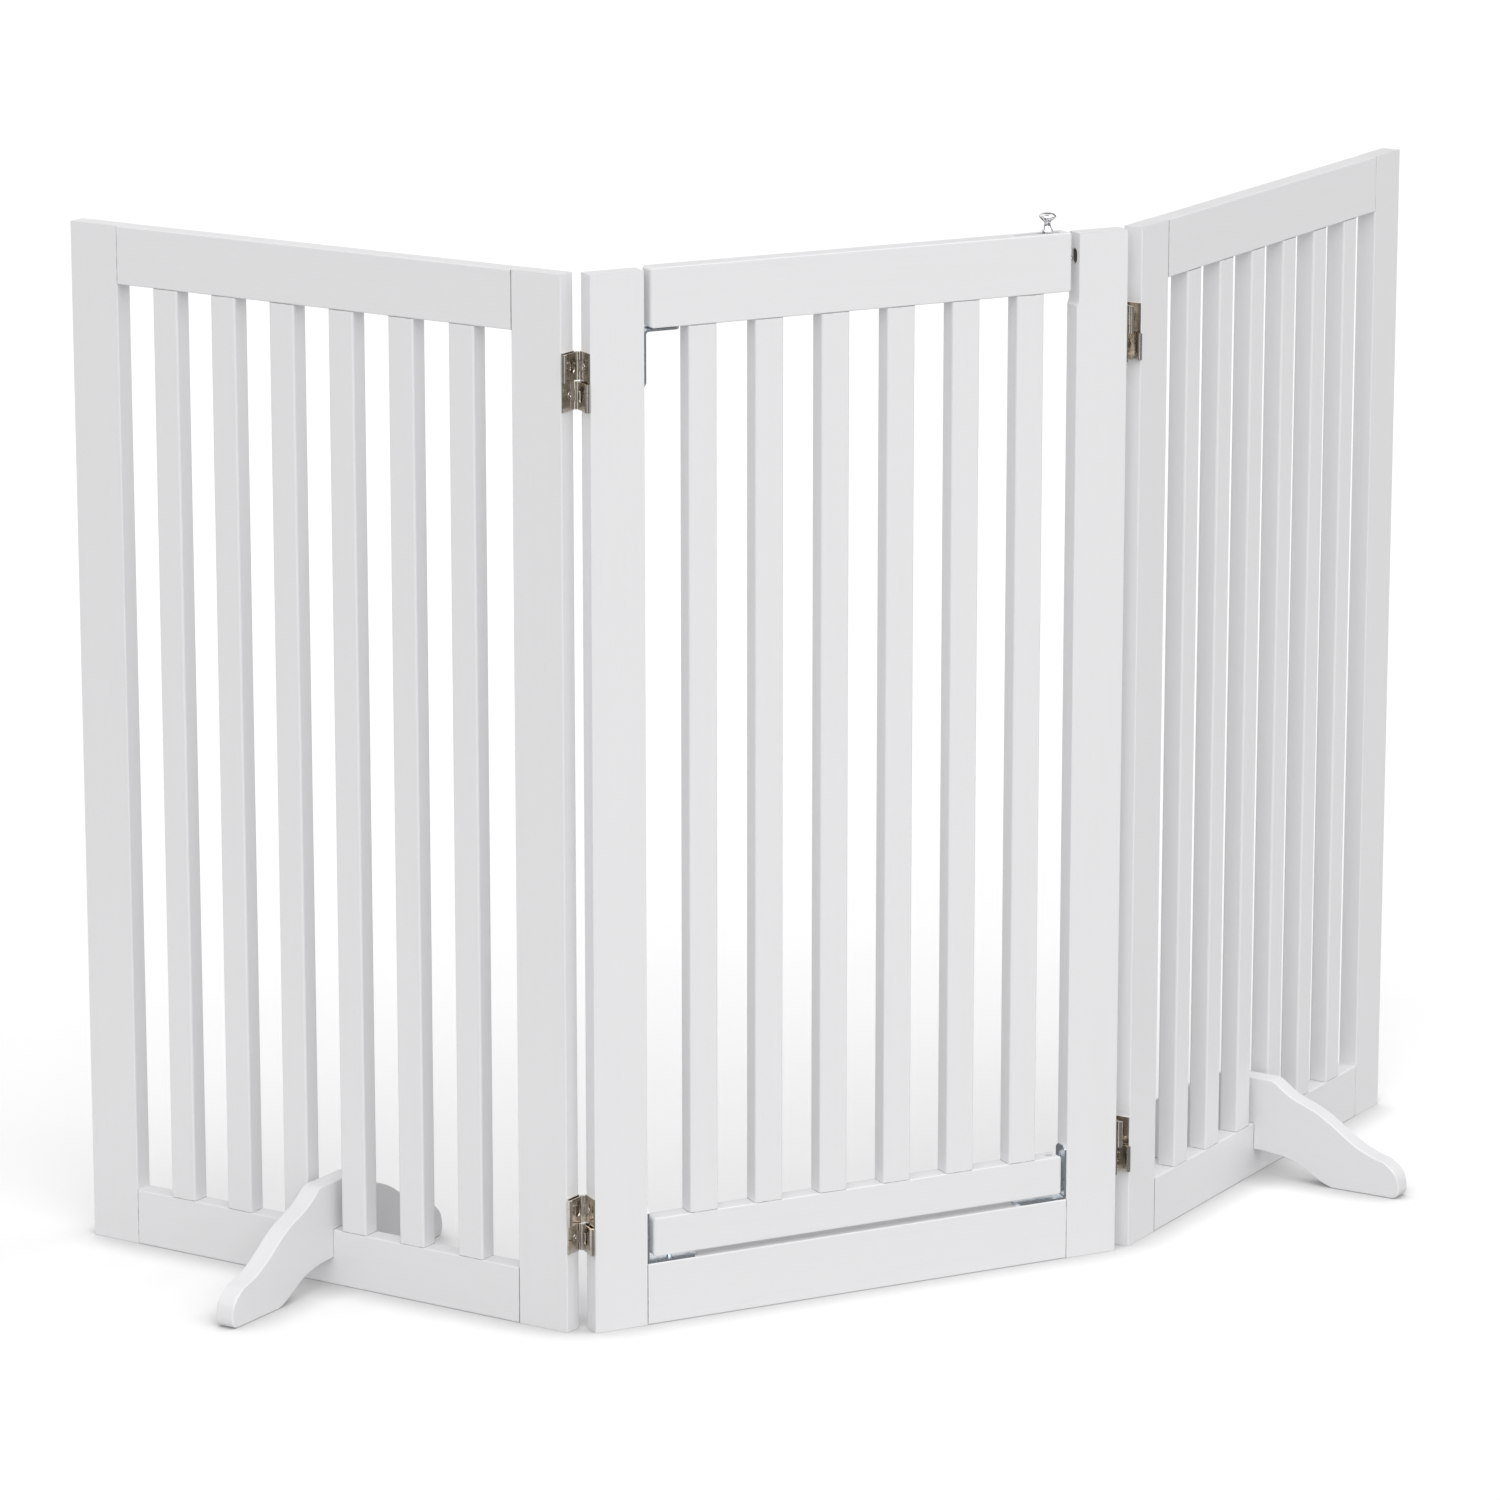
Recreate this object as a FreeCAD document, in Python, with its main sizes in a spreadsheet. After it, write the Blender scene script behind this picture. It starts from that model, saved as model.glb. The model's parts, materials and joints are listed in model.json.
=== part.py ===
import FreeCAD, Part
import os
from math import cos, radians, sin
from types import SimpleNamespace

import Sketcher
from FreeCAD import Placement, Rotation, Vector

# A free-standing folding pet gate: a centre panel with a swinging door, and a wing hinged to each side of it.
# Frame: +X runs along the centre panel to the right, +Y to the back, +Z up. The origin is on the floor, in the
# middle of the centre panel's thickness and width. At rest the door is shut, its bolt is drawn clear of the post,
# and both wings are folded back, the left one further than the right.
# Lengths are millimetres and folds are degrees.

SIZES = (
    # frame of the whole gate
    ("gate_height", 920, "floor to the top of the stiles and posts"),
    ("panel_width", 512, "width of the centre panel and of each wing"),
    ("board_thickness", 18, "thickness of every board"),
    ("stile_width", 50, "width of the wing stiles and the door posts"),
    ("wing_top_rail_height", 51, "height of a wing's top rail"),
    ("wing_bottom_rail_height", 50, "height of a wing's bottom rail"),
    ("sill_height", 54.5, "height of the rail under the door"),
    ("edge_round", 1, "radius of the eased edges of stiles and rails"),
    ("slat_round", 2, "radius of the slats' eased edges"),
    ("left_fold", 59, "left wing, folded back from straight"),
    ("right_fold", 32.5, "right wing, folded back from straight"),
    # slats
    ("slat_count", 6, "slats in a wing, and in the door"),
    ("wing_slat_width", 26, "width of a wing slat"),
    ("wing_slat_pitch", 62, "from one wing slat to the next"),
    ("door_slat_width", 26.5, "width of a door slat"),
    ("door_slat_pitch", 62.5, "from one door slat to the next"),
    ("door_slat_margin", 35, "from the door's pivot end to its first slat"),
    # dowels
    ("dowel_diameter", 8, "every dowel"),
    ("dowel_length", 30, "half of it in each of the two boards it joins"),
    ("dowel_clearance", 0.1, "on the diameter of a dowel's bore"),
    ("dowel_end_gap", 1, "left beyond each end of a dowel"),
    ("dowel_chamfer", 1, "at both ends of a dowel"),
    ("dowel_edge", 14, "from a rail's edge to a dowel's axis"),
    # door
    ("door_gap_pivot", 6, "between the left post and the door"),
    ("door_gap_latch", 5, "between the door and the right post"),
    ("door_gap_under", 6, "between the sill and the door"),
    ("door_rise", 1.5, "door top above the post tops"),
    ("door_top_rail_height", 51, "height of the door's top rail"),
    ("door_bottom_rail_height", 34.5, "height of the door's bottom rail"),
    ("door_end_round", 3, "radius of the upright edges at the door rails' ends"),
    ("pivot_inset", 18.4, "from the door's end to its pivot axis"),
    ("spare_bore_inset", 9, "from the door's latch end to the unused bore in its bottom rail"),
    ("spare_bore_diameter", 7, "that bore"),
    ("spare_bore_depth", 12, "that bore"),
    # pivot brackets and pins
    ("bracket_thickness", 2, "steel strip"),
    ("bracket_width", 16, "steel strip"),
    ("bracket_leg", 49, "each leg of an angle bracket"),
    ("bracket_short_leg", 34, "the upper bracket's leg under the door's top rail"),
    ("bracket_bend", 2.5, "inner radius of the bend"),
    ("bracket_clip", 3.5, "corners cut off the ends of a leg"),
    ("bracket_top_gap", 0.5, "between the upper bracket and the door's top rail"),
    ("bracket_screw_low", 17, "corner to the first screw in the upright leg"),
    ("bracket_screw_high", 39, "corner to the second screw in the upright leg"),
    ("bracket_screw_flat", 43, "corner to the screw in the flat leg"),
    ("bracket_screw_shank", 3.5, "shank diameter"),
    ("bracket_screw_head", 6.8, "head diameter"),
    ("bracket_screw_length", 15, "shank under the head"),
    ("pivot_pin_diameter", 5, "the door's pivot pins"),
    ("pivot_pin_reach", 15, "how far a pin goes into the door"),
    ("pivot_pin_chamfer", 0.8, "at the pin's upper end"),
    ("pivot_end_gap", 0.3, "between a pin's end and the bottom of its bore"),
    ("running_clearance", 0.08, "on the radius, where a pin or the bolt moves in its bore"),
    ("fixed_clearance", 0.05, "on the radius, where a pin or screw is fast in its hole"),
    # latch
    ("bolt_diameter", 6, "round latch bolt"),
    ("bolt_length", 40, "round latch bolt"),
    ("bolt_drop", 24, "from the door's top to the bolt's axis"),
    ("bolt_projection", 4.5, "bolt tip beyond the door's end, at rest"),
    ("bolt_throw", 9, "travel into the post from rest"),
    ("bolt_retract", 30, "travel back into the door from rest"),
    ("bolt_tip_round", 2, "radius of the tip's edge"),
    ("bolt_bore_spare", 1.5, "bore beyond the drawn bolt"),
    ("stem_diameter", 4, "stem of the latch knob"),
    ("stem_inset", 20, "from the door's end to the stem, at rest"),
    ("stem_depth", 3.5, "how far the stem goes into the bolt"),
    ("stem_end_gap", 0.2, "left below the stem in the bolt"),
    ("slot_width", 6, "slot that the stem slides in"),
    ("knob_lift", 0.4, "between the door's top and the knob"),
    ("knob_height", 16.5, "latch knob above the lift"),
    ("knob_head_diameter", 15, "latch knob"),
    ("knob_top_diameter", 11, "its flat top"),
    ("knob_waist_diameter", 5.4, "its waist"),
    ("knob_foot_diameter", 10, "its flared foot"),
    ("latch_hole_width", 9, "oblong hole in the right post"),
    ("latch_hole_height", 13.5, "oblong hole in the right post"),
    ("latch_hole_depth", 14, "from the post's inner face"),
    ("relief_depth", 2, "recess in the right post beside the door's top rail"),
    ("relief_length", 56, "recess from the top of the post"),
    ("relief_cutter", 12, "radius of the recess's lower end"),
    # two-way hinges
    ("panel_gap", 7, "between two panels laid straight"),
    ("pin_proud", 0.5, "hinge pin's axis outside the boards' faces"),
    ("hinge_height", 50, "hinge leaf"),
    ("hinge_low", 95, "floor to the middle of the lower hinges"),
    ("hinge_down", 91, "gate's top to the middle of the upper hinges"),
    ("leaf_thickness", 1.2, "hinge leaf"),
    ("leaf_inset", 0.4, "hinge leaf's long edges inside the board's faces"),
    ("link_thickness", 1, "link plate between two leaves"),
    ("barrel_diameter", 4.4, "rolled barrels"),
    ("barrel_half_gap", 0.75, "from the hinge's middle to the first barrel"),
    ("barrel_run", 23.5, "three barrels on one pin"),
    ("barrel_end", 6.8, "each outer barrel"),
    ("barrel_play", 0.15, "between two barrels"),
    ("hinge_pin_diameter", 2, "hinge pin"),
    ("hinge_pin_clearance", 0.06, "on the radius, between a barrel and its pin"),
    ("link_relief", 0.5, "link plate kept clear of the leaf's barrel"),
    ("access_width", 7, "oval hole over a screw in a link plate"),
    ("access_height", 11, "oval hole over a screw in a link plate"),
    ("hinge_screw_spacing", 24, "two screws in a leaf"),
    ("hinge_screw_offset", 2, "screws' axis, from the board's middle to the back"),
    ("hinge_screw_head", 6, "head diameter"),
    ("hinge_screw_shank", 3, "shank diameter"),
    ("hinge_screw_length", 14, "shank under the leaf"),
    ("screw_tip", 2.5, "pointed end of every screw"),
    ("pilot_spare", 1, "pilot bore beyond a screw's tip"),
    ("recess_depth", 0.8, "cross recess in a screw's head"),
    ("recess_width", 0.8, "cross recess in a screw's head"),
    # support feet
    ("foot_bridge", 43.5, "wood above the wing's bottom rail"),
    ("foot_reach", 157, "from the wing's middle plane to a toe"),
    ("foot_lip", 24.5, "floor to the foot's underside beside the rail"),
    ("foot_crest", 22, "half of the flat top"),
    ("foot_toe_height", 30, "where the toe's rounding starts"),
    ("foot_heel", 90, "from the wing's middle plane to the inner end of the sole"),
    ("foot_clearance", 0.5, "between the notch and the rail, on each side and on top"),
    ("foot_round", 1.2, "radius of the feet's eased edges"),
)

doc = FreeCAD.newDocument("pet_gate")
sheet = doc.addObject("Spreadsheet::Sheet", "Sizes")
for row, (alias, number, note) in enumerate(SIZES, 1):
    sheet.set(f"A{row}", alias)
    sheet.set(f"B{row}", str(number))
    sheet.setAlias(f"B{row}", alias)
    sheet.set(f"C{row}", note)
doc.recompute()


# ---- values that carry their spreadsheet expression ----


class Term:
    """A number together with the spreadsheet expression that gives it."""

    def __init__(self, value, text):
        self.value = value
        self.text = text

    def __float__(self):
        return self.value

    def __add__(self, other):
        return Term(self.value + float(other), f"({self.text} + {text_of(other)})")

    def __radd__(self, other):
        return Term(float(other) + self.value, f"({text_of(other)} + {self.text})")

    def __sub__(self, other):
        return Term(self.value - float(other), f"({self.text} - {text_of(other)})")

    def __rsub__(self, other):
        return Term(float(other) - self.value, f"({text_of(other)} - {self.text})")

    def __mul__(self, other):
        return Term(self.value * float(other), f"({self.text} * {text_of(other)})")

    def __rmul__(self, other):
        return Term(float(other) * self.value, f"({text_of(other)} * {self.text})")

    def __truediv__(self, other):
        return Term(self.value / float(other), f"({self.text} / {text_of(other)})")

    def __neg__(self):
        return Term(-self.value, f"(-1 * {self.text})")


def text_of(value):
    return value.text if isinstance(value, Term) else repr(float(value))


def cosine(angle):
    return Term(cos(radians(float(angle))), f"cos({text_of(angle)} * 1 deg)")


def sine(angle):
    return Term(sin(radians(float(angle))), f"sin({text_of(angle)} * 1 deg)")


def tie(thing, name, value):
    """Binds a property to an expression; a plain number is set as it is by the caller."""
    thing.setExpression(name, text_of(value))


S = SimpleNamespace(**{alias: Term(float(sheet.get(alias)), f"Sizes.{alias}") for alias, _, _ in SIZES})


# ---- sizes that follow from the driving ones ----

half_panel = S.panel_width / 2
pin_line = S.board_thickness / 2 + S.pin_proud  # the hinge pins' axes, from the boards' middle plane
hinge_heights = (S.hinge_low, S.gate_height - S.hinge_down)
opening_width = S.panel_width - 2 * S.stile_width
dowel_bore_radius = (S.dowel_diameter + S.dowel_clearance) / 2
dowel_bore_depth = S.dowel_length / 2 + S.dowel_end_gap
wing_slat_length = S.gate_height - S.wing_top_rail_height - S.wing_bottom_rail_height
wing_slat_margin = (opening_width - (S.slat_count - 1) * S.wing_slat_pitch - S.wing_slat_width) / 2

door_left = S.stile_width + S.door_gap_pivot - half_panel
door_width = opening_width - S.door_gap_pivot - S.door_gap_latch
door_foot = S.sill_height + S.door_gap_under
door_head = S.gate_height + S.door_rise
door_slat_foot = door_foot + S.door_bottom_rail_height
door_slat_head = door_head - S.door_top_rail_height
pivot_x = door_left + S.pivot_inset

bolt_height = door_head - S.bolt_drop
stem_x = door_left + door_width - S.stem_inset
bolt_tip_x = door_left + door_width + S.bolt_projection
latch_post_x = half_panel - S.stile_width
left_post_face = S.stile_width - half_panel
upper_bracket_top = door_slat_head - S.bracket_top_gap

leaf_width = S.board_thickness - 2 * S.leaf_inset
barrel_middle = S.barrel_run - 2 * S.barrel_end - 2 * S.barrel_play
pilot_hinge = S.hinge_screw_length + S.pilot_spare
pilot_bracket = S.bracket_screw_length + S.pilot_spare


# ---- where things stand ----


class Frame:
    """A place to build in: a point on the floor plan and a turn about it."""

    def __init__(self, x, y, turn):
        self.x = x
        self.y = y
        self.turn = turn

    def place(self, thing, x, y, z, rotation=Rotation()):
        """Puts a part's own origin at x, y, z of this frame, after a turn of its own for a frame with no turn."""
        if isinstance(self.turn, Term):
            across, along = cosine(self.turn), sine(self.turn)
            x, y = self.x + x * across - y * along, self.y + x * along + y * across
            rotation = Rotation(Vector(0, 0, 1), float(self.turn))
        thing.Placement = Placement(Vector(float(x), float(y), float(z)), rotation)
        if isinstance(self.turn, Term):
            tie(thing, "Placement.Rotation.Angle", Term(0, f"{self.turn.text} * 1 deg"))
        for axis, value in (("x", x), ("y", y), ("z", z)):
            if isinstance(value, Term):
                tie(thing, f"Placement.Base.{axis}", value)


CENTRE = Frame(0, 0, 0)
# A wing's frame stands on the rear pins' axis, so that a turn about its origin folds the wing back.
LEFT = Frame(-(half_panel + S.panel_gap / 2), pin_line, -S.left_fold)
RIGHT = Frame(half_panel + S.panel_gap / 2, pin_line, S.right_fold)
wing_front = -(S.board_thickness + S.pin_proud)  # the boards' front face in a wing's frame
centre_front = -(S.board_thickness / 2)

parts = []


# ---- ways to make a piece ----

TURNED = {"x": Rotation(Vector(0, 1, 0), 90), "y": Rotation(Vector(1, 0, 0), -90), "z": Rotation()}


def new_body(label):
    body = doc.addObject("PartDesign::Body", label)
    body.Label = label
    parts.append(body)
    return body


def origin_part(body, role):
    return next(part for part in body.Origin.OriginFeatures if part.Role == role)


def outline(body, plane, corners):
    """A closed sketch of straight lines, each corner held at its own two distances from the body's origin."""
    sketch = body.newObject("Sketcher::SketchObject", "Outline")
    sketch.AttachmentSupport = (origin_part(body, plane), [""])
    sketch.MapMode = "FlatFace"
    points = [Vector(float(x), float(y), 0) for x, y in corners]
    count = len(points)
    for i in range(count):
        sketch.addGeometry(Part.LineSegment(points[i], points[(i + 1) % count]), False)
    for i in range(count):
        sketch.addConstraint(Sketcher.Constraint("Coincident", i, 2, (i + 1) % count, 1))
    for i, corner in enumerate(corners):
        for kind, axis, value in zip(("DistanceX", "DistanceY"), (-2, -1), corner):
            if float(value) == 0:
                sketch.addConstraint(Sketcher.Constraint("PointOnObject", i, 1, axis))
                continue
            number = sketch.addConstraint(Sketcher.Constraint(kind, -1, 1, i, 1, float(value)))
            sketch.renameConstraint(number, f"{kind}{i}")
            tie(sketch, f"Constraints.{kind}{i}", value)
    return sketch


def place_feature(feature, at, axis="z"):
    feature.Placement = Placement(Vector(*[float(value) for value in at]), TURNED[axis])
    for letter, value in zip("xyz", at):
        if isinstance(value, Term):
            tie(feature, f"Placement.Base.{letter}", value)


def bore(body, radius, depth, at, axis):
    """A round hole that starts at a point and runs along an axis of the body."""
    cut = body.newObject("PartDesign::SubtractiveCylinder", "Bore")
    tie(cut, "Radius", radius)
    tie(cut, "Height", depth)
    place_feature(cut, at, axis)
    return cut


def block(body, kind, size, at):
    """An added or cut box."""
    box = body.newObject(f"PartDesign::{kind}Box", "Block")
    for name, value in zip(("Length", "Width", "Height"), size):
        tie(box, name, value)
    place_feature(box, at)
    return box


def oblong(body, size, depth, at, axis, stretch):
    """A slot with round ends: its width, the distance between its ends' centres, and the way it stretches."""
    width, run = size
    radius = width / 2
    for share in (0, 1):
        end = [value + run * share if letter == stretch and share else value for letter, value in zip("xyz", at)]
        bore(body, radius, depth, end, axis)
    across = ({"x", "y", "z"} - {axis, stretch}).pop()
    extent = {axis: depth, stretch: run, across: width}
    corner = [value - radius if letter == across else value for letter, value in zip("xyz", at)]
    return block(body, "Subtractive", [extent[letter] for letter in "xyz"], corner)


def straight_edges(shape, axis, keep=lambda middle: True):
    """Names of the straight edges that run along an axis and whose middle passes a test."""
    way = {"x": Vector(1, 0, 0), "y": Vector(0, 1, 0), "z": Vector(0, 0, 1)}[axis]
    names = []
    for number, edge in enumerate(shape.Edges, 1):
        if edge.Curve.TypeId == "Part::GeomLine" and edge.Length > 0:
            ends = [vertex.Point for vertex in edge.Vertexes]
            run = (ends[1] - ends[0]).normalize()
            if abs(run.dot(way)) > 0.999 and keep((ends[0] + ends[1]) / 2):
                names.append(f"Edge{number}")
    return names


def ease(body, radius, axis, keep=lambda middle: True, kind="Fillet"):
    """Rounds, or with kind Chamfer cuts, the straight edges along an axis."""
    doc.recompute()
    base = body.Tip
    feature = body.newObject(f"PartDesign::{kind}", kind)
    feature.Base = (base, straight_edges(base.Shape, axis, keep))
    tie(feature, "Radius" if kind == "Fillet" else "Size", radius)
    return feature


def board(label, plane, corners, length, axis, radius):
    """A planed board: a rectangle drawn at one end, run along the grain, with its long edges eased."""
    body = new_body(label)
    pad = body.newObject("PartDesign::Pad", "Run")
    pad.Profile = outline(body, plane, corners)
    tie(pad, "Length", length)
    ease(body, radius, axis)
    return body


def upright(label, width, height, radius):
    corners = ((0, 0), (width, 0), (width, S.board_thickness), (0, S.board_thickness))
    return board(label, "XY_Plane", corners, height, "z", radius)


def rail(label, length, height, radius):
    corners = ((0, 0), (S.board_thickness, 0), (S.board_thickness, height), (0, height))
    return board(label, "YZ_Plane", corners, length, "x", radius)


def edge_bores(body, width, far, radius, depth, spots):
    """Bores into an upright's narrow face: the far one at x = width, or the near one at x = 0."""
    for y, z in spots:
        bore(body, radius, depth, (width - depth if far else 0, y, z), "x")


def slat_bores(body, height, from_top, margin, pitch, slat_width):
    """The row of dowel bores in a rail, one under or over each slat."""
    z = height - dowel_bore_depth if from_top else 0
    first = bore(body, dowel_bore_radius, dowel_bore_depth, (margin + slat_width / 2, S.board_thickness / 2, z), "z")
    doc.recompute()
    row = body.newObject("PartDesign::LinearPattern", "Row")
    row.Originals = [first]
    row.Direction = (origin_part(body, "X_Axis"), [""])
    tie(row, "Length", (S.slat_count - 1) * pitch)
    tie(row, "Occurrences", S.slat_count)
    body.Tip = row


def rail_dowel_spots(height):
    """Where the two dowels in a rail's end are: across the board, and up from the rail's bottom."""
    return [(S.board_thickness / 2, S.dowel_edge), (S.board_thickness / 2, height - S.dowel_edge)]


def raised(spots, lift):
    return [(y, z + lift) for y, z in spots]


def end_bores(body, length, height):
    for far in (False, True):
        edge_bores(body, length, far, dowel_bore_radius, dowel_bore_depth, rail_dowel_spots(height))


def slat(label, width, length):
    body = upright(label, width, length, S.slat_round)
    for z in (0, length - dowel_bore_depth):
        bore(body, dowel_bore_radius, dowel_bore_depth, (width / 2, S.board_thickness / 2, z), "z")
    return body


def hinge_screw_spots():
    """Where the hinge screws enter a board's edge: across the board from its front face, and up."""
    y = S.board_thickness / 2 + S.hinge_screw_offset
    return [(y, z + S.hinge_screw_spacing / 2 * way) for z in hinge_heights for way in (-1, 1)]


def group(label, shapes, frame, x=0, y=0, z=0):
    """One node of separate solids, drawn in a frame and set down there."""
    feature = doc.addObject("Part::Feature", label)
    feature.Label = label
    feature.Shape = Part.makeCompound(shapes)
    frame.place(feature, x, y, z)
    parts.append(feature)
    return feature


# ---- wings: two stiles, two rails and six slats each ----


def wing_x(side, from_hinge, width):
    """Lower x of a board in a wing's frame, from its distance to the panel's hinge edge."""
    start = S.panel_gap / 2 + from_hinge
    return start if side > 0 else -(start + width)


def build_wing(name, side, frame):
    """side is 1 for the wing on the right and -1 for the wing on the left."""
    top_rail_foot = S.gate_height - S.wing_top_rail_height
    spots = rail_dowel_spots(S.wing_bottom_rail_height)
    spots += raised(rail_dowel_spots(S.wing_top_rail_height), top_rail_foot)
    for part, from_hinge in (("hinge_stile", 0), ("outer_stile", S.panel_width - S.stile_width)):
        inner_far = (part == "hinge_stile") == (side > 0)
        stile = upright(f"{name}_{part}", S.stile_width, S.gate_height, S.edge_round)
        edge_bores(stile, S.stile_width, inner_far, dowel_bore_radius, dowel_bore_depth, spots)
        if part == "hinge_stile":
            pilot = S.hinge_screw_shank / 2 + S.fixed_clearance
            edge_bores(stile, S.stile_width, not inner_far, pilot, pilot_hinge, hinge_screw_spots())
        frame.place(stile, wing_x(side, from_hinge, S.stile_width), wing_front, 0)
    rail_x = wing_x(side, S.stile_width, opening_width)
    for part, height, foot in (
        ("top_rail", S.wing_top_rail_height, top_rail_foot),
        ("bottom_rail", S.wing_bottom_rail_height, 0),
    ):
        piece = rail(f"{name}_{part}", opening_width, height, S.edge_round)
        end_bores(piece, opening_width, height)
        slat_bores(piece, height, part == "bottom_rail", wing_slat_margin, S.wing_slat_pitch, S.wing_slat_width)
        frame.place(piece, rail_x, wing_front, foot)
    for number in range(int(float(S.slat_count))):
        from_hinge = S.stile_width + wing_slat_margin + number * S.wing_slat_pitch
        piece = slat(f"{name}_slat_{number + 1}", S.wing_slat_width, wing_slat_length)
        frame.place(piece, wing_x(side, from_hinge, S.wing_slat_width), wing_front, S.wing_bottom_rail_height)


build_wing("left_wing", -1, LEFT)
build_wing("right_wing", 1, RIGHT)


# ---- centre panel: two posts and the sill under the door ----


def bracket_pilots(body, width, far, corner, way):
    """Pilot bores for an angle bracket's upright leg, up or down from the bracket's corner."""
    y = S.board_thickness / 2
    spots = [(y, corner + reach * way) for reach in (S.bracket_screw_low, S.bracket_screw_high)]
    radius = S.bracket_screw_shank / 2 + S.fixed_clearance
    edge_bores(body, width, far, radius, pilot_bracket, spots)


def build_posts():
    sill_spots = rail_dowel_spots(S.sill_height)
    pilot = S.hinge_screw_shank / 2 + S.fixed_clearance
    for label, inner_far, x in (("left_post", True, -half_panel), ("right_post", False, latch_post_x)):
        post = upright(label, S.stile_width, S.gate_height, S.edge_round)
        edge_bores(post, S.stile_width, inner_far, dowel_bore_radius, dowel_bore_depth, sill_spots)
        edge_bores(post, S.stile_width, not inner_far, pilot, pilot_hinge, hinge_screw_spots())
        bracket_pilots(post, S.stile_width, inner_far, S.sill_height, 1)
        if inner_far:
            bracket_pilots(post, S.stile_width, True, upper_bracket_top, -1)
        else:
            cut_latch_side(post)
        CENTRE.place(post, x, centre_front, 0)


def cut_latch_side(post):
    """The shallow recess beside the door's top rail, with a round lower end, and the bolt's oblong hole."""
    foot = S.gate_height - S.relief_length
    block(post, "Subtractive", (S.relief_depth, S.board_thickness, S.relief_length), (0, 0, foot))
    bore(post, S.relief_cutter, S.board_thickness, (S.relief_depth - S.relief_cutter, 0, foot), "y")
    size = (S.latch_hole_width, S.latch_hole_height - S.latch_hole_width)
    at = (0, S.board_thickness / 2, bolt_height)
    oblong(post, size, S.latch_hole_depth, at, "x", "z")


def build_sill():
    sill = rail("centre_sill_rail", opening_width, S.sill_height, S.edge_round)
    end_bores(sill, opening_width, S.sill_height)
    radius = S.bracket_screw_shank / 2 + S.fixed_clearance
    for x in (S.bracket_screw_flat, opening_width - S.bracket_screw_flat):
        bore(sill, radius, pilot_bracket, (x, S.board_thickness / 2, S.sill_height - pilot_bracket), "z")
    CENTRE.place(sill, left_post_face, centre_front, 0)


build_posts()
build_sill()


# ---- door: two rails and six slats, no stiles ----

pivot_bore_radius = S.pivot_pin_diameter / 2 + S.running_clearance
pivot_bore_depth = S.pivot_pin_reach + S.pivot_end_gap
door_middle = S.board_thickness / 2


def door_rail(label, height, from_top):
    body = rail(label, door_width, height, S.edge_round)
    ease(body, S.door_end_round, "z")
    slat_bores(body, height, from_top, S.door_slat_margin, S.door_slat_pitch, S.door_slat_width)
    return body


def build_door():
    top = door_rail("door_top_rail", S.door_top_rail_height, False)
    bore(top, pivot_bore_radius, pivot_bore_depth, (S.pivot_inset, door_middle, 0), "z")
    bolt_axis = S.door_top_rail_height - S.bolt_drop
    depth = S.bolt_length - S.bolt_projection + S.bolt_retract + S.bolt_bore_spare
    radius = S.bolt_diameter / 2 + S.running_clearance
    bore(top, radius, depth, (door_width - depth, door_middle, bolt_axis), "x")
    stem = door_width - S.stem_inset
    size = (S.slot_width, S.bolt_retract + S.bolt_throw)
    oblong(top, size, S.bolt_drop, (stem - S.bolt_retract, door_middle, bolt_axis), "z", "x")
    CENTRE.place(top, door_left, centre_front, door_slat_head)

    bottom = door_rail("door_bottom_rail", S.door_bottom_rail_height, True)
    bore(bottom, pivot_bore_radius, pivot_bore_depth, (S.pivot_inset, door_middle, 0), "z")
    spare = (door_width - S.spare_bore_inset, door_middle, S.door_bottom_rail_height - S.spare_bore_depth)
    bore(bottom, S.spare_bore_diameter / 2, S.spare_bore_depth, spare, "z")
    CENTRE.place(bottom, door_left, centre_front, door_foot)

    for number in range(int(float(S.slat_count))):
        piece = slat(f"door_slat_{number + 1}", S.door_slat_width, door_slat_head - door_slat_foot)
        x = door_left + S.door_slat_margin + number * S.door_slat_pitch
        CENTRE.place(piece, x, centre_front, door_slat_foot)


build_door()


# ---- angle brackets, drawn with the corner at the origin, one leg along +X and one along +Z ----


def countersunk(body, at, axis, outwards):
    """A screw hole through the strip, widest at its open face: outwards is 1 if that face is the far one."""
    shank = S.bracket_screw_shank / 2 + S.fixed_clearance
    head = S.bracket_screw_head / 2 + S.fixed_clearance
    cone = body.newObject("PartDesign::SubtractiveCone", "Sink")
    small, large = ("Radius1", "Radius2") if outwards > 0 else ("Radius2", "Radius1")
    tie(cone, small, shank)
    tie(cone, large, head)
    tie(cone, "Height", S.bracket_thickness)
    place_feature(cone, at, axis)


def bracket(label, reach, flat_screw, rotation, at):
    body = new_body(label)
    strip, wide = S.bracket_thickness, S.bracket_width
    block(body, "Additive", (reach, wide, strip), (0, 0, 0))
    block(body, "Additive", (strip, wide, S.bracket_leg), (0, 0, 0))
    thin = float(strip)
    ease(body, S.bracket_bend, "y", lambda m: abs(m.x - thin) < 0.01 and abs(m.z - thin) < 0.01)
    ease(body, S.bracket_bend + strip, "y", lambda m: m.x < 0.01 and m.z < 0.01)
    ends = float(reach), float(S.bracket_leg)
    ease(body, S.bracket_clip, "z", lambda m: m.x > ends[0] - 0.01, "Chamfer")
    ease(body, S.bracket_clip, "x", lambda m: m.z > ends[1] - 0.01, "Chamfer")
    middle = wide / 2
    for height in (S.bracket_screw_low, S.bracket_screw_high):
        countersunk(body, (0, middle, height), "x", 1)
    if flat_screw:
        countersunk(body, (S.bracket_screw_flat, middle, 0), "z", 1)
    if label != "latch_side_bracket":
        pin = S.pivot_pin_diameter / 2 + S.fixed_clearance
        bore(body, pin, strip, (S.door_gap_pivot + S.pivot_inset, middle, 0), "z")
    body.Placement = Placement(Vector(0, 0, 0), rotation)
    CENTRE.place(body, *at, rotation)


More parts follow.
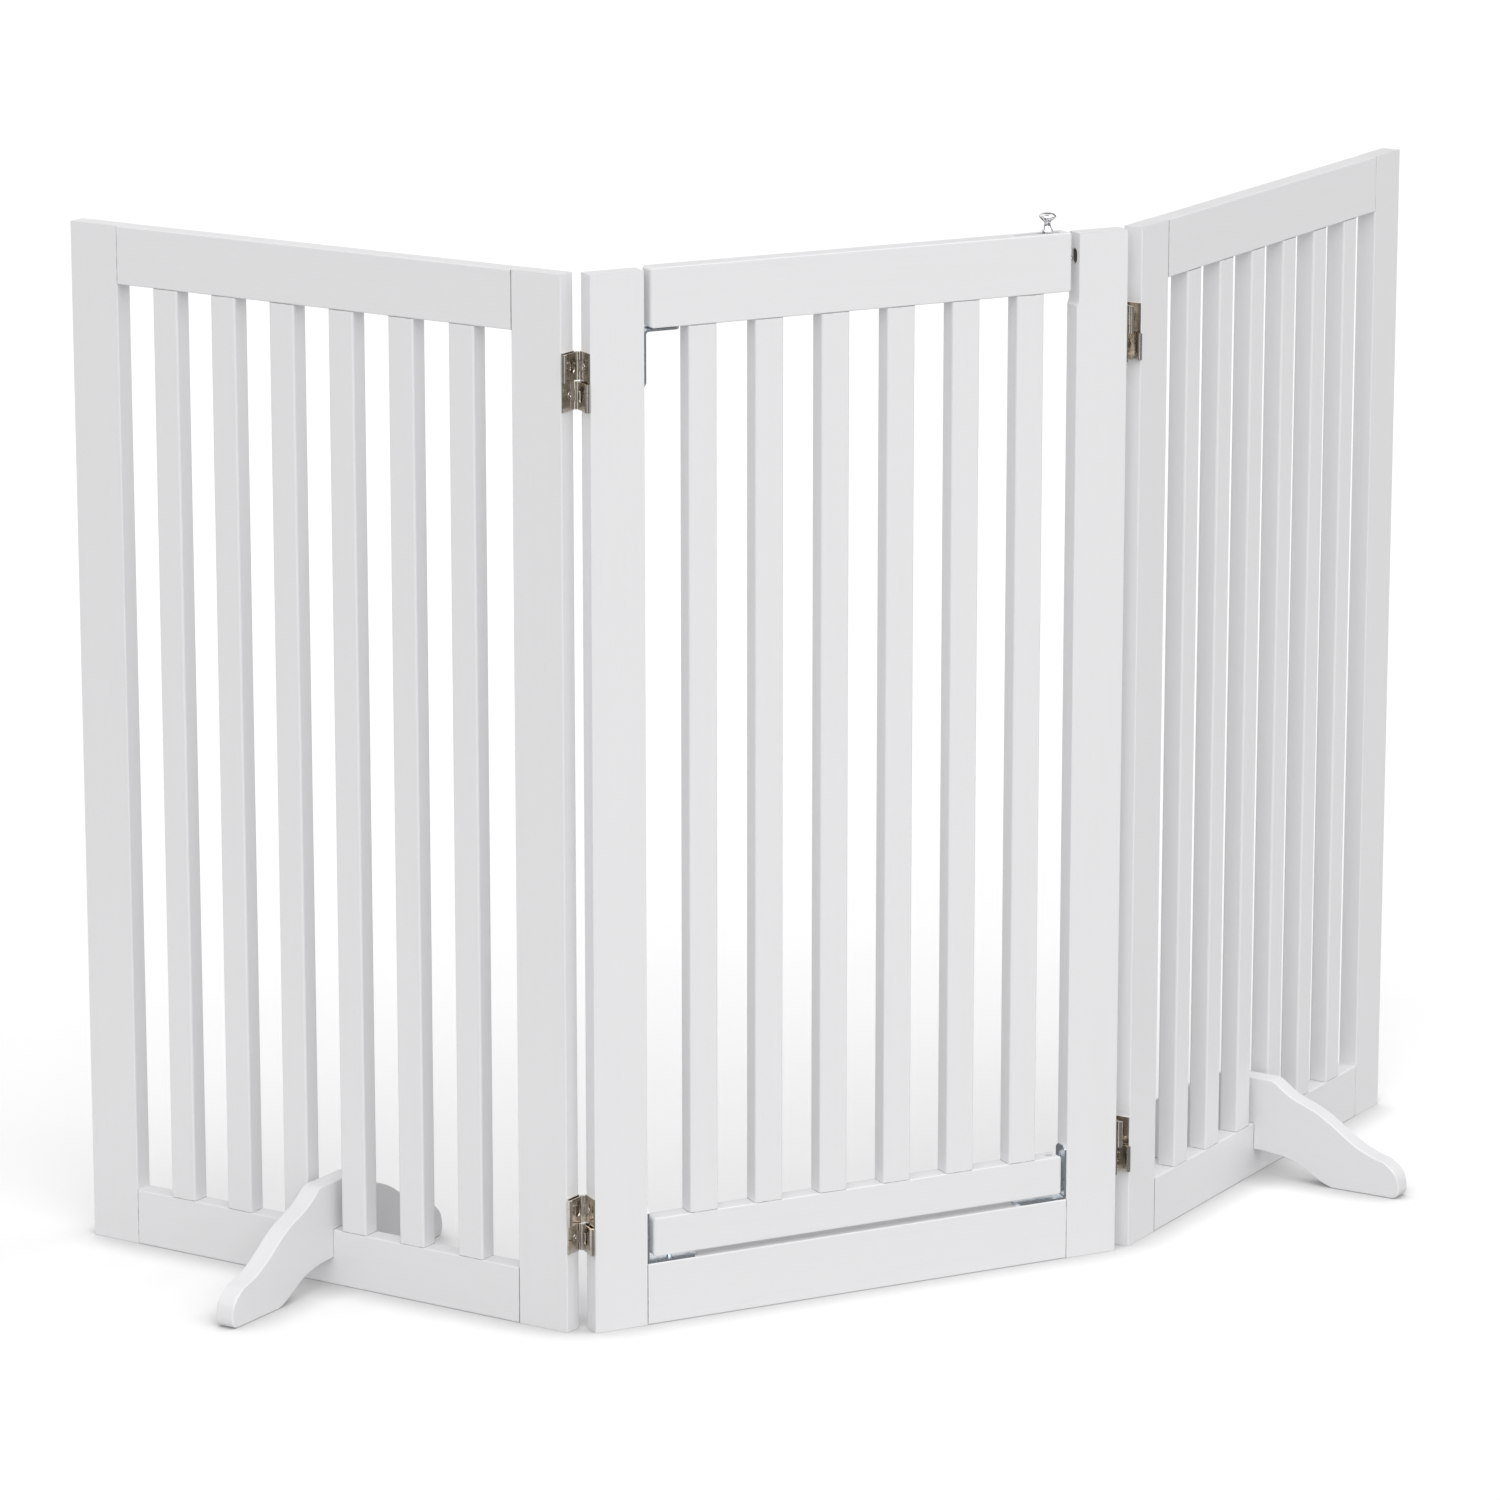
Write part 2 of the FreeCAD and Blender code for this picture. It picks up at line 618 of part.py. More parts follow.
# Turned half round about X, the upper bracket's upright leg hangs down and its width runs towards the front.
bracket(
    "upper_pivot_bracket",
    S.bracket_short_leg,
    False,
    Rotation(Vector(1, 0, 0), 180),
    (left_post_face, S.bracket_width / 2, upper_bracket_top),
)
bracket(
    "lower_pivot_bracket",
    S.bracket_leg,
    True,
    Rotation(),
    (left_post_face, -S.bracket_width / 2, S.sill_height),
)
# Turned half round about Z, the latch side's flat leg points to the left.
bracket(
    "latch_side_bracket",
    S.bracket_leg,
    True,
    Rotation(Vector(0, 0, 1), 180),
    (latch_post_x, S.bracket_width / 2, S.sill_height),
)


def pivot_pin(label, length, foot):
    body = new_body(label)
    pin = body.newObject("PartDesign::AdditiveCylinder", "Pin")
    tie(pin, "Radius", S.pivot_pin_diameter / 2)
    tie(pin, "Height", length)
    doc.recompute()
    top = max(range(len(pin.Shape.Edges)), key=lambda i: pin.Shape.Edges[i].BoundBox.ZMin) + 1
    chamfer = body.newObject("PartDesign::Chamfer", "Lead")
    chamfer.Base = (pin, [f"Edge{top}"])
    tie(chamfer, "Size", S.pivot_pin_chamfer)
    CENTRE.place(body, pivot_x, 0, foot)


pivot_pin("lower_pivot_pin", S.door_gap_under + S.pivot_pin_reach, S.sill_height)
pivot_pin(
    "upper_pivot_pin",
    S.bracket_thickness + S.bracket_top_gap + S.pivot_pin_reach,
    upper_bracket_top - S.bracket_thickness,
)


# ---- latch: a round bolt in the door's top rail and the knob that slides it ----


def build_bolt():
    body = new_body("latch_bolt")
    rod = body.newObject("PartDesign::AdditiveCylinder", "Rod")
    tie(rod, "Radius", S.bolt_diameter / 2)
    tie(rod, "Height", S.bolt_length)
    place_feature(rod, (0, 0, 0), "x")
    doc.recompute()
    tip = max(range(len(rod.Shape.Edges)), key=lambda i: rod.Shape.Edges[i].BoundBox.XMin) + 1
    nose = body.newObject("PartDesign::Fillet", "Nose")
    nose.Base = (rod, [f"Edge{tip}"])
    tie(nose, "Radius", S.bolt_tip_round)
    depth = S.stem_depth + S.stem_end_gap
    stem = S.bolt_length - S.bolt_projection - S.stem_inset
    radius = S.stem_diameter / 2 + S.fixed_clearance
    bore(body, radius, depth, (stem, 0, S.bolt_diameter / 2 - depth), "z")
    CENTRE.place(body, bolt_tip_x - S.bolt_length, 0, bolt_height)


def build_knob():
    body = new_body("latch_knob")
    stem, waist = S.stem_diameter / 2, S.knob_waist_diameter / 2
    foot, head, crown = S.knob_foot_diameter / 2, S.knob_head_diameter / 2, S.knob_top_diameter / 2
    base = S.bolt_drop - S.bolt_diameter / 2 + S.stem_depth + S.knob_lift
    tall = S.knob_height
    profile = (
        (0, 0),
        (stem, 0),
        (stem, base),
        (foot * 0.9, base),
        (foot, base + tall * 0.12),
        (waist, base + tall * 0.5),
        (head, base + tall * 0.82),
        (head, base + tall * 0.88),
        (crown, base + tall),
        (0, base + tall),
    )
    turned = body.newObject("PartDesign::Revolution", "Turned")
    turned.Profile = outline(body, "XZ_Plane", profile)
    turned.ReferenceAxis = (origin_part(body, "Z_Axis"), [""])
    turned.Angle = 360
    CENTRE.place(body, stem_x, 0, bolt_height + S.bolt_diameter / 2 - S.stem_depth)


build_bolt()
build_knob()


# ---- two-way hinges, drawn about the middle of the gap between two panels laid straight ----
# A leaf lies on each board's edge. Two link plates lie between the leaves. Each half of the hinge has one link,
# which joins a front barrel of one leaf to a rear barrel of the other, so the panels fold either way.

gap_edge = float(S.panel_gap) / 2
pin_y = float(pin_line)
barrel_radius = float(S.barrel_diameter) / 2
half_starts = {"upper": float(S.barrel_half_gap), "lower": -float(S.barrel_half_gap + S.barrel_run)}


def pin_span(half, piece):
    """Start and length, along the pin, of a half's low barrel, middle barrel, high barrel or whole pin."""
    start, end, play = half_starts[half], float(S.barrel_end), float(S.barrel_play)
    middle = float(barrel_middle)
    return {
        "low": (start, end),
        "middle": (start + end + play, middle),
        "high": (start + end + play + middle + play, end),
        "whole": (start, float(S.barrel_run)),
    }[piece]


def barrel(side, half, piece):
    """side is -1 for a front barrel and 1 for a rear one."""
    low, length = pin_span(half, piece)
    return Part.makeCylinder(barrel_radius, length, Vector(0, side * pin_y, low))


def pin_bores():
    radius = float(S.hinge_pin_diameter / 2 + S.hinge_pin_clearance)
    tall = float(S.hinge_height) * 2
    return [Part.makeCylinder(radius, tall, Vector(0, side * pin_y, -tall / 2)) for side in (-1, 1)]


def screw_shape(shank, head, sink, length):
    """A countersunk wood screw along +X: flat head at x = 0, cross recess, plain shank and pointed tip."""
    tip = float(S.screw_tip)
    shape = Part.makeCone(head, shank, sink)
    shape = shape.fuse(Part.makeCylinder(shank, length - tip, Vector(0, 0, sink)))
    shape = shape.fuse(Part.makeCone(shank, 0, tip, Vector(0, 0, sink + length - tip)))
    arm, wide, deep = head * 1.2, float(S.recess_width), float(S.recess_depth)
    bar = Part.makeBox(arm, wide, deep, Vector(-arm / 2, -wide / 2, 0))
    cross = bar.fuse(Part.makeBox(wide, arm, deep, Vector(-wide / 2, -arm / 2, 0)))
    shape = shape.removeSplitter().cut(cross)
    shape.rotate(Vector(0, 0, 0), Vector(0, 1, 0), 90)
    return shape


def hinge_screw_places():
    """Points on the right-hand board's leaf where its two screws sit."""
    x, y = gap_edge - float(S.leaf_thickness), float(S.hinge_screw_offset)
    return [Vector(x, y, way * float(S.hinge_screw_spacing) / 2) for way in (-1, 1)]


def right_leaf():
    """The leaf on the right-hand board: front barrel in the lower half, rear barrel in the upper half."""
    thick, wide, tall = float(S.leaf_thickness), float(leaf_width), float(S.hinge_height)
    pieces = []
    for side, half in ((-1, "lower"), (1, "upper")):
        low, length = pin_span(half, "middle")
        web_y = wide / 2 - thick if side > 0 else -wide / 2
        pieces += [
            barrel(side, half, "middle"),
            Part.makeBox(gap_edge, thick, length, Vector(0, web_y, low)),
        ]
    plate = Part.makeBox(thick, wide, tall, Vector(gap_edge - thick, -wide / 2, -tall / 2))
    shape = plate.multiFuse(pieces).removeSplitter()
    slack = float(S.fixed_clearance)
    head = float(S.hinge_screw_head) / 2 + slack
    shank = float(S.hinge_screw_shank) / 2 + slack
    holes = [Part.makeCone(head, shank, thick, spot, Vector(1, 0, 0)) for spot in hinge_screw_places()]
    return shape.cut(pin_bores() + holes)


def link(half):
    """The link plate of one half, with outer barrels on both its pins and an oval hole over a screw."""
    start, run = pin_span(half, "whole")
    low, length = pin_span(half, "middle")
    thick, play = float(S.link_thickness), float(S.barrel_play)
    shape = Part.makeBox(thick, 2 * pin_y, run, Vector(-thick / 2, -pin_y, start))
    inner = pin_y - barrel_radius - float(S.link_relief)
    window = Part.makeBox(2 * thick, pin_y, length + 2 * play, Vector(-thick, inner, low - play))
    for side in (-1, 1):
        shape = shape.cut(window if side > 0 else window.mirror(Vector(0, 0, 0), Vector(0, 1, 0)))
    shape = shape.multiFuse([barrel(side, half, piece) for side in (-1, 1) for piece in ("low", "high")])
    radius, tall = float(S.access_width) / 2, float(S.access_height)
    centre = Vector(-thick, float(S.hinge_screw_offset), low + length / 2 - tall / 2 + radius)
    stretch = tall - 2 * radius
    oval = Part.makeCylinder(radius, 2 * thick, centre, Vector(1, 0, 0))
    oval = oval.fuse(Part.makeCylinder(radius, 2 * thick, centre + Vector(0, 0, stretch), Vector(1, 0, 0)))
    oval = oval.fuse(Part.makeBox(2 * thick, 2 * radius, stretch, centre - Vector(0, radius, 0)))
    return shape.removeSplitter().cut(pin_bores() + [oval])


def pin(side, half, piece):
    low, length = pin_span(half, piece)
    return Part.makeCylinder(float(S.hinge_pin_diameter) / 2, length, Vector(0, side * pin_y, low))


def turned_over(shape):
    """The same piece on the left-hand board: turned half round about the front-to-back axis."""
    copy = shape.copy()
    copy.rotate(Vector(0, 0, 0), Vector(0, 1, 0), 180)
    return copy


def at_hinges(shapes, x, y):
    """Copies at both hinge heights of one side."""
    copies = []
    for height in hinge_heights:
        for shape in shapes:
            copy = shape.copy()
            copy.translate(Vector(x, y, float(height)))
            copies.append(copy)
    return copies


hinge_screw = screw_shape(
    float(S.hinge_screw_shank) / 2,
    float(S.hinge_screw_head) / 2,
    float(S.leaf_thickness),
    float(S.hinge_screw_length),
)


def screws_on_right_board():
    copies = []
    for spot in hinge_screw_places():
        copy = hinge_screw.copy()
        copy.translate(spot)
        copies.append(copy)
    return copies


def build_hinges():
    gap_x = float(half_panel) + gap_edge
    leaf = right_leaf()
    screws = screws_on_right_board()
    outer_stubs = {half: [pin(1, half, piece) for piece in ("low", "high")] for half in ("upper", "lower")}
    # on the left wing, which is the left-hand board of its hinges
    group("left_wing_hinge_leaves", at_hinges([turned_over(leaf)], 0, -pin_y), LEFT)
    group("left_upper_hinge_links", at_hinges([link("upper")], 0, -pin_y), LEFT)
    pins = [pin(-1, "upper", "whole")] + outer_stubs["upper"]
    group("left_wing_hinge_pins", at_hinges(pins, 0, -pin_y), LEFT)
    group("left_wing_hinge_screws", at_hinges([turned_over(s) for s in screws], 0, -pin_y), LEFT)
    # on the right wing, which is the right-hand board of its hinges
    group("right_wing_hinge_leaves", at_hinges([leaf], 0, -pin_y), RIGHT)
    group("right_lower_hinge_links", at_hinges([link("lower")], 0, -pin_y), RIGHT)
    pins = [pin(-1, "lower", "whole")] + outer_stubs["lower"]
    group("right_wing_hinge_pins", at_hinges(pins, 0, -pin_y), RIGHT)
    group("right_wing_hinge_screws", at_hinges(screws, 0, -pin_y), RIGHT)
    # on the centre panel
    leaves = at_hinges([leaf], -gap_x, 0) + at_hinges([turned_over(leaf)], gap_x, 0)
    group("centre_hinge_leaves", leaves, CENTRE)
    stubs = at_hinges([pin(1, "upper", "middle")], -gap_x, 0) + at_hinges([pin(1, "lower", "middle")], gap_x, 0)
    group("centre_hinge_pins", stubs, CENTRE)
    turned = [turned_over(s) for s in screws]
    group("centre_hinge_screws", at_hinges(screws, -gap_x, 0) + at_hinges(turned, gap_x, 0), CENTRE)
    # between the two, flat against the centre panel while a wing is folded back
    group("left_lower_hinge_links", at_hinges([link("lower")], -gap_x, 0), CENTRE)
    group("left_link_pins", at_hinges([pin(side, "lower", "whole") for side in (-1, 1)], -gap_x, 0), CENTRE)
    group("right_upper_hinge_links", at_hinges([link("upper")], gap_x, 0), CENTRE)
    group("right_link_pins", at_hinges([pin(side, "upper", "whole") for side in (-1, 1)], gap_x, 0), CENTRE)


build_hinges()


# ---- bracket screws ----


def build_bracket_screws():
    strip = float(S.bracket_thickness)
    shape = screw_shape(
        float(S.bracket_screw_shank) / 2,
        float(S.bracket_screw_head) / 2,
        strip,
        float(S.bracket_screw_length),
    )
    left, right = float(left_post_face) + strip, float(latch_post_x) - strip
    sill, upper = float(S.sill_height), float(upper_bracket_top)
    reaches = [float(S.bracket_screw_low), float(S.bracket_screw_high)]
    screws = []
    for x, z, way in ((left, sill, 1), (right, sill, 1), (left, upper, -1)):
        for reach in reaches:
            copy = shape.copy()
            if x < 0:
                copy.rotate(Vector(0, 0, 0), Vector(0, 0, 1), 180)
            copy.translate(Vector(x, 0, z + way * reach))
            screws.append(copy)
    flat = float(S.bracket_screw_flat)
    for x in (float(left_post_face) + flat, float(latch_post_x) - flat):
        copy = shape.copy()
        copy.rotate(Vector(0, 0, 0), Vector(0, 1, 0), 90)
        copy.translate(Vector(x, 0, sill + strip))
        screws.append(copy)
    group("bracket_screws", screws, CENTRE)


build_bracket_screws()


# ---- dowels ----


def dowel(point, axis):
    """A dowel centred on a point, with its ends chamfered."""
    length, radius = float(S.dowel_length), float(S.dowel_diameter) / 2
    shape = Part.makeCylinder(radius, length, Vector(0, 0, -length / 2))
    rims = [edge for edge in shape.Edges if edge.Curve.TypeId == "Part::GeomCircle"]
    shape = shape.makeChamfer(float(S.dowel_chamfer), rims)
    shape.Placement = Placement(point, TURNED[axis])
    return shape


def rail_dowels(x_ends, y, foot, height):
    """Two dowels at each end of a rail."""
    heights = [float(z) + float(foot) for _, z in rail_dowel_spots(height)]
    return [dowel(Vector(float(x), float(y), z), "x") for x in x_ends for z in heights]


def slat_dowels(first, pitch, y, heights):
    """One dowel at each end of every slat."""
    places = [float(first) + number * float(pitch) for number in range(int(float(S.slat_count)))]
    return [dowel(Vector(x, float(y), float(z)), "z") for x in places for z in heights]


def build_dowels():
    top_rail_foot = S.gate_height - S.wing_top_rail_height
    for name, side, frame in (("left_wing", -1, LEFT), ("right_wing", 1, RIGHT)):
        ends = [wing_x(side, from_hinge, 0) for from_hinge in (S.stile_width, S.panel_width - S.stile_width)]
        y = wing_front + S.board_thickness / 2
        first = wing_x(side, S.stile_width + wing_slat_margin + S.wing_slat_width / 2, 0)
        dowels = rail_dowels(ends, y, 0, S.wing_bottom_rail_height)
        dowels += rail_dowels(ends, y, top_rail_foot, S.wing_top_rail_height)
        dowels += slat_dowels(first, side * S.wing_slat_pitch, y, (S.wing_bottom_rail_height, top_rail_foot))
        group(f"{name}_dowels", dowels, frame)
    group("centre_dowels", rail_dowels((left_post_face, latch_post_x), 0, 0, S.sill_height), CENTRE)
    first = door_left + S.door_slat_margin + S.door_slat_width / 2
    group("door_dowels", slat_dowels(first, S.door_slat_pitch, 0, (door_slat_foot, door_slat_head)), CENTRE)


build_dowels()


# ---- support feet: a shaped board that stands astride a wing's bottom rail ----

# The upper edge from the flat top to the toe, as shares of the run out to the toe and of the drop to it.
FOOT_SHOULDER = (
    (0.10, 0.08),
    (0.19, 0.20),
    (0.31, 0.30),
    (0.41, 0.38),
    (0.50, 0.48),
    (0.59, 0.60),
    (0.67, 0.71),
    (0.78, 0.83),
    (0.90, 0.92),
    (1.00, 1.00),
)
# The lower edge from the sole to the rail, as shares of the run in from the heel and of the rise to the lip.
FOOT_ARCH = ((0.22, 0.30), (0.38, 0.60), (0.52, 0.80), (0.68, 0.92), (0.84, 0.98))
TOE_RUN = 11  # from the toe's tip back to where the upper edge ends
SOLE_RUN = 8  # from the toe's tip back to where the sole starts


def curve_through(points, start=None, end=None):
    curve = Part.BSplineCurve()
    if start:
        curve.interpolate(Points=points, InitialTangent=start, FinalTangent=end)
    else:
        curve.interpolate(Points=points)
    return curve.toShape()


def foot_half():
    """The outline's edges on the +Y side, from the middle of the top down to the notch, in the YZ plane."""
    top = float(S.wing_bottom_rail_height + S.foot_bridge)
    reach, toe = float(S.foot_reach), float(S.foot_toe_height)
    crest, heel, lip = float(S.foot_crest), float(S.foot_heel), float(S.foot_lip)
    wall = float(S.board_thickness / 2 + S.foot_clearance)
    run, drop = reach - TOE_RUN - crest, top - toe
    shoulder = [Vector(0, crest, top)]
    shoulder += [Vector(0, crest + run * along, top - drop * down) for along, down in FOOT_SHOULDER]
    tip = Vector(0, reach, toe * 0.42)
    sole = Vector(0, reach - SOLE_RUN, 0)
    arch = [Vector(0, heel, 0)]
    arch += [Vector(0, heel - (heel - wall) * along, lip * up) for along, up in FOOT_ARCH]
    arch.append(Vector(0, wall, lip))
    edges = [
        Part.LineSegment(Vector(0, 0, top), shoulder[0]).toShape(),
        curve_through(shoulder, Vector(0, 1, 0), Vector(0, 1, -0.7)),
        curve_through([shoulder[-1], tip, sole], Vector(0, 1, -0.7), Vector(0, -1, 0)),
        Part.LineSegment(sole, arch[0]).toShape(),
        curve_through(arch),
    ]
    return edges, arch[-1]


def build_feet():
    edges, lip = foot_half()
    notch = float(S.wing_bottom_rail_height + S.foot_clearance)
    edges += [
        Part.LineSegment(lip, Vector(0, lip.y, notch)).toShape(),
        Part.LineSegment(Vector(0, lip.y, notch), Vector(0, 0, notch)).toShape(),
    ]
    mirrored = [edge.mirror(Vector(0, 0, 0), Vector(0, 1, 0)) for edge in edges]
    face = Part.Face(Part.Wire(Part.__sortEdges__(edges + mirrored)))
    solid = face.extrude(Vector(float(S.board_thickness), 0, 0))
    solid = solid if solid.Volume > 0 else solid.reversed()
    rounded = solid.makeFillet(float(S.foot_round), outer_rims(solid, lip.y))
    for name, side, frame in (("left", -1, LEFT), ("right", 1, RIGHT)):
        x = wing_x(side, (S.panel_width - S.board_thickness) / 2, S.board_thickness)
        foot = group(f"{name}_support_foot", [rounded], frame, x, wing_front + S.board_thickness / 2, 0)
        foot.Shape = rounded
        frame.place(foot, x, wing_front + S.board_thickness / 2, 0)


def outer_rims(solid, notch_half):
    """The outline's edges on both broad faces, apart from those of the notch."""
    thick = float(S.board_thickness)
    rims = []
    for edge in solid.Edges:
        box = edge.BoundBox
        flat = box.XLength < 0.01 and (box.XMin < 0.01 or box.XMin > thick - 0.01)
        outside = box.YMax > notch_half + 0.01 or box.YMin < -notch_half - 0.01
        if flat and (outside or box.ZMin > float(S.wing_bottom_rail_height) + 5):
            rims.append(edge)
    return rims


build_feet()


# ---- checks and export ----

doc.recompute()
for thing in doc.Objects:
    bad = {"Invalid", "Error"} & set(thing.State)
    if bad:
        raise RuntimeError(f"{thing.Label} ({thing.TypeId}) is {thing.State}")
for part in parts:
    if part.Shape.isNull() or not part.Shape.isValid() or not part.Shape.Solids:
        raise RuntimeError(f"{part.Label} has no valid solid")

os.makedirs("parts", exist_ok=True)
for part in parts:
    part.Shape.exportStep(os.path.join("parts", f"{part.Label}.step"))
print(len(parts), "parts,", sum(len(part.Shape.Solids) for part in parts), "solids")
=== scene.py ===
# %% [markdown]
# # A folding pet gate, finished in Blender
# The gate's boards, hinges and brackets come from a CAD model, so their shapes and sizes are settled. What is left
# is the part that Blender is good at: the white paint over wood, the plated steel, the small turned knob, the screw
# heads, and the light. The CAD model is loaded first, and nothing in it is moved or reshaped.

# %% Load the CAD frame
import json
import math

import bmesh
import bpy
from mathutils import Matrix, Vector

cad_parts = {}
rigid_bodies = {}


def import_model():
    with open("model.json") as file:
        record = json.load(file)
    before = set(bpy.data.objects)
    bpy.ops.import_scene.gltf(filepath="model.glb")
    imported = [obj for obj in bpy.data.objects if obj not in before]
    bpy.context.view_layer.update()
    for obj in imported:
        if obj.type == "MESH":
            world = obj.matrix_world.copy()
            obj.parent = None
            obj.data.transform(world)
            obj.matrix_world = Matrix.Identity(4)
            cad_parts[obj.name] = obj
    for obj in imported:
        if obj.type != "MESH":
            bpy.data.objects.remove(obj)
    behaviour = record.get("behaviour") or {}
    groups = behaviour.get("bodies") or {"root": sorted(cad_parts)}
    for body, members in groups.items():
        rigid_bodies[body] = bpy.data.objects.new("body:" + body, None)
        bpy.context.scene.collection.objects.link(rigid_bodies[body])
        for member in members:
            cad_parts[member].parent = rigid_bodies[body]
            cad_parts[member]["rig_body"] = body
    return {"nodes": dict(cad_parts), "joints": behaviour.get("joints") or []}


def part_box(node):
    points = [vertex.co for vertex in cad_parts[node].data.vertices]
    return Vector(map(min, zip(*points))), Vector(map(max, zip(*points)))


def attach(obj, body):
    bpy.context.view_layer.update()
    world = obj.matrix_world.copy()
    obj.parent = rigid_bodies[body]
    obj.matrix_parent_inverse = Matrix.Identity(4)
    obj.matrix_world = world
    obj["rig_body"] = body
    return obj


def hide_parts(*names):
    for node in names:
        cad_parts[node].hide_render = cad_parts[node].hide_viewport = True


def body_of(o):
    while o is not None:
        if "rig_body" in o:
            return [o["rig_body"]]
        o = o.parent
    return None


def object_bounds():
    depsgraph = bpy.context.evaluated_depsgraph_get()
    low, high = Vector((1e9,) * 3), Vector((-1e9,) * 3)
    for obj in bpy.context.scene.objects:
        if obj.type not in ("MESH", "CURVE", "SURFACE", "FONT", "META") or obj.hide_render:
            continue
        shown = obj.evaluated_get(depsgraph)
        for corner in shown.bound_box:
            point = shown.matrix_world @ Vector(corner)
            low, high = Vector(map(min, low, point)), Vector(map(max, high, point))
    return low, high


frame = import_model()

nodes = frame["nodes"]
cad_low, cad_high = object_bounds()

# %% [markdown]
# ## Where each panel stands
# The centre panel faces the front, and each wing is folded back about a hinge. A pattern that should run along a
# board, such as grain, or sit on a joint between two boards, has to know the direction of its panel. Each panel gets
# a small frame of its own: a point and an angle. They are read from the CAD joints and boards, so they can't drift.

# %% Panel frames, measured from the CAD parts
joints = {joint["name"]: joint for joint in frame["joints"]}


def middle_of(node):
    low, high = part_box(node)
    return (low + high) / 2


def wing_frame(name):
    """The point where the wing's middle plane passes its rear hinge axis, and the angle of the wing."""
    pivot = Vector(joints[f"{name}_back_fold"]["pos_m"])
    stile = middle_of(f"{name}_wing_hinge_stile")
    run = (middle_of(f"{name}_wing_outer_stile") - stile).normalized()
    reach = (stile - pivot).dot(run)
    point = stile - run * reach
    if name == "left":
        run = -run
    return Vector((point.x, point.y, 0)), math.atan2(run.y, run.x)


PANELS = {"centre": (Vector((0, 0, 0)), 0.0), "left": wing_frame("left"), "right": wing_frame("right")}
for name, (point, angle) in PANELS.items():
    print(f"{name} panel: point {tuple(round(v, 4) for v in point)}, turned {math.degrees(angle):.1f} degrees")

# %% [markdown]
# ## The camera and the floor
# A long lens from well back keeps the uprights nearly parallel, as in a catalogue picture. The floor is a large
# plain sheet, so that no edge of it shows from any side.

# %% Camera
HEADING = math.radians(26.59)  # from straight ahead, turned towards the right
TILT = math.radians(13.87)  # looking down
camera_data = bpy.data.cameras.new("Gate camera")
camera_data.lens = 161.1
camera_data.sensor_width = 36
camera_data.clip_end = 100
camera = bpy.data.objects.new("Gate camera", camera_data)
camera.location = (-2.5894, -4.9665, 1.8686)
camera.rotation_euler = (math.pi / 2 - TILT, 0, -HEADING)
bpy.context.scene.collection.objects.link(camera)
bpy.context.scene.camera = camera
bpy.context.scene.view_settings.view_transform = "Standard"
gate_middle = Vector((0, (cad_low.y + cad_high.y) / 2, cad_high.z / 2))
print("camera is", round((camera.location - gate_middle).length, 2), "m from the gate")


# %% Floor
def link(obj):
    bpy.context.scene.collection.objects.link(obj)
    return obj


HALF_FLOOR = 40
FLOOR_GAP = 0.0002  # keeps the floor clear of the undersides that stand on it
floor_mesh = bpy.data.meshes.new("floor")
corners = [(x * HALF_FLOOR, y * HALF_FLOOR, 0) for x, y in ((-1, -1), (1, -1), (1, 1), (-1, 1))]
floor_mesh.from_pydata(corners, [], [(0, 1, 2, 3)])
floor = link(bpy.data.objects.new("floor", floor_mesh))
floor.location.z = cad_low.z - FLOOR_GAP
print("floor is", 2 * HALF_FLOOR, "m wide, at z", round(floor.location.z, 4))

# %% [markdown]
# ## Soft light
# White on white only reads through its shadows. A bright soft sky lights what faces the front, and it is dimmer
# behind the gate, which leaves the sides of the slats in shade. Three very wide suns add direction: the strongest
# from the front left, a weaker one from the front right, and one from behind for the backs of the boards. A sun
# doesn't fade with distance, so the floor stays even right to the back.


# %% Lights
def soft_sun(name, azimuth, elevation, spread, strength):
    """A wide sun. Azimuth 0 shines from the front, and grows towards the right."""
    light = bpy.data.lights.new(name, "SUN")
    light.angle = math.radians(spread)
    light.energy = strength
    obj = link(bpy.data.objects.new(name, light))
    obj.rotation_euler = (math.radians(90 - elevation), 0, math.radians(azimuth))


SUNS = {  # azimuth, elevation and spread in degrees, and strength
    "Key sun": (-28, 44, 60, 1.12),
    "Right sun": (58, 45, 70, 0.85),
    "Back sun": (185, 40, 80, 0.80),
}
for name, values in SUNS.items():
    soft_sun(name, *values)
print(len(SUNS), "suns, together", round(sum(values[-1] for values in SUNS.values()), 2))

# %% [markdown]
# ## The sky that the metal sees
# Paint needs an even sky, but polished metal under an even sky looks like grey plastic. The sky therefore has two
# brightnesses: a soft one that lights the paint, and one with a bright window and dark surroundings that only mirror
# reflections see. The Light Path node tells them apart, and the backdrop itself stays plain white.


# %% Helpers for node trees
def fill(tree, node, inputs):
    """inputs maps a socket's name or number to a value, or to another node's output."""
    for name, value in dict(inputs).items():
        if isinstance(value, bpy.types.NodeSocket):
            tree.links.new(value, node.inputs[name])
        else:
            node.inputs[name].default_value = value


def put(tree, kind, inputs=(), **settings):
    """Adds a node. Its settings come first, because they decide which sockets it has."""
    node = tree.nodes.new(kind)
    for name, value in settings.items():
        setattr(node, name, value)
    fill(tree, node, inputs)
    return node


def math_node(tree, operation, *values):
    return put(tree, "ShaderNodeMath", enumerate(values), operation=operation).outputs[0]


def mix_colour(tree, amount, first, second):
    """first where amount is 0, and second where it is 1."""
    return put(tree, "ShaderNodeMix", {0: amount, 6: first, 7: second}, data_type="RGBA").outputs[2]


def remap(tree, value, low, high, to_low=0.0, to_high=1.0):
    sockets = {0: value, 1: low, 2: high, 3: to_low, 4: to_high}
    return put(tree, "ShaderNodeMapRange", sockets, clamp=True).outputs[0]


print("helpers:", ", ".join(helper.__name__ for helper in (fill, put, math_node, mix_colour, remap)))

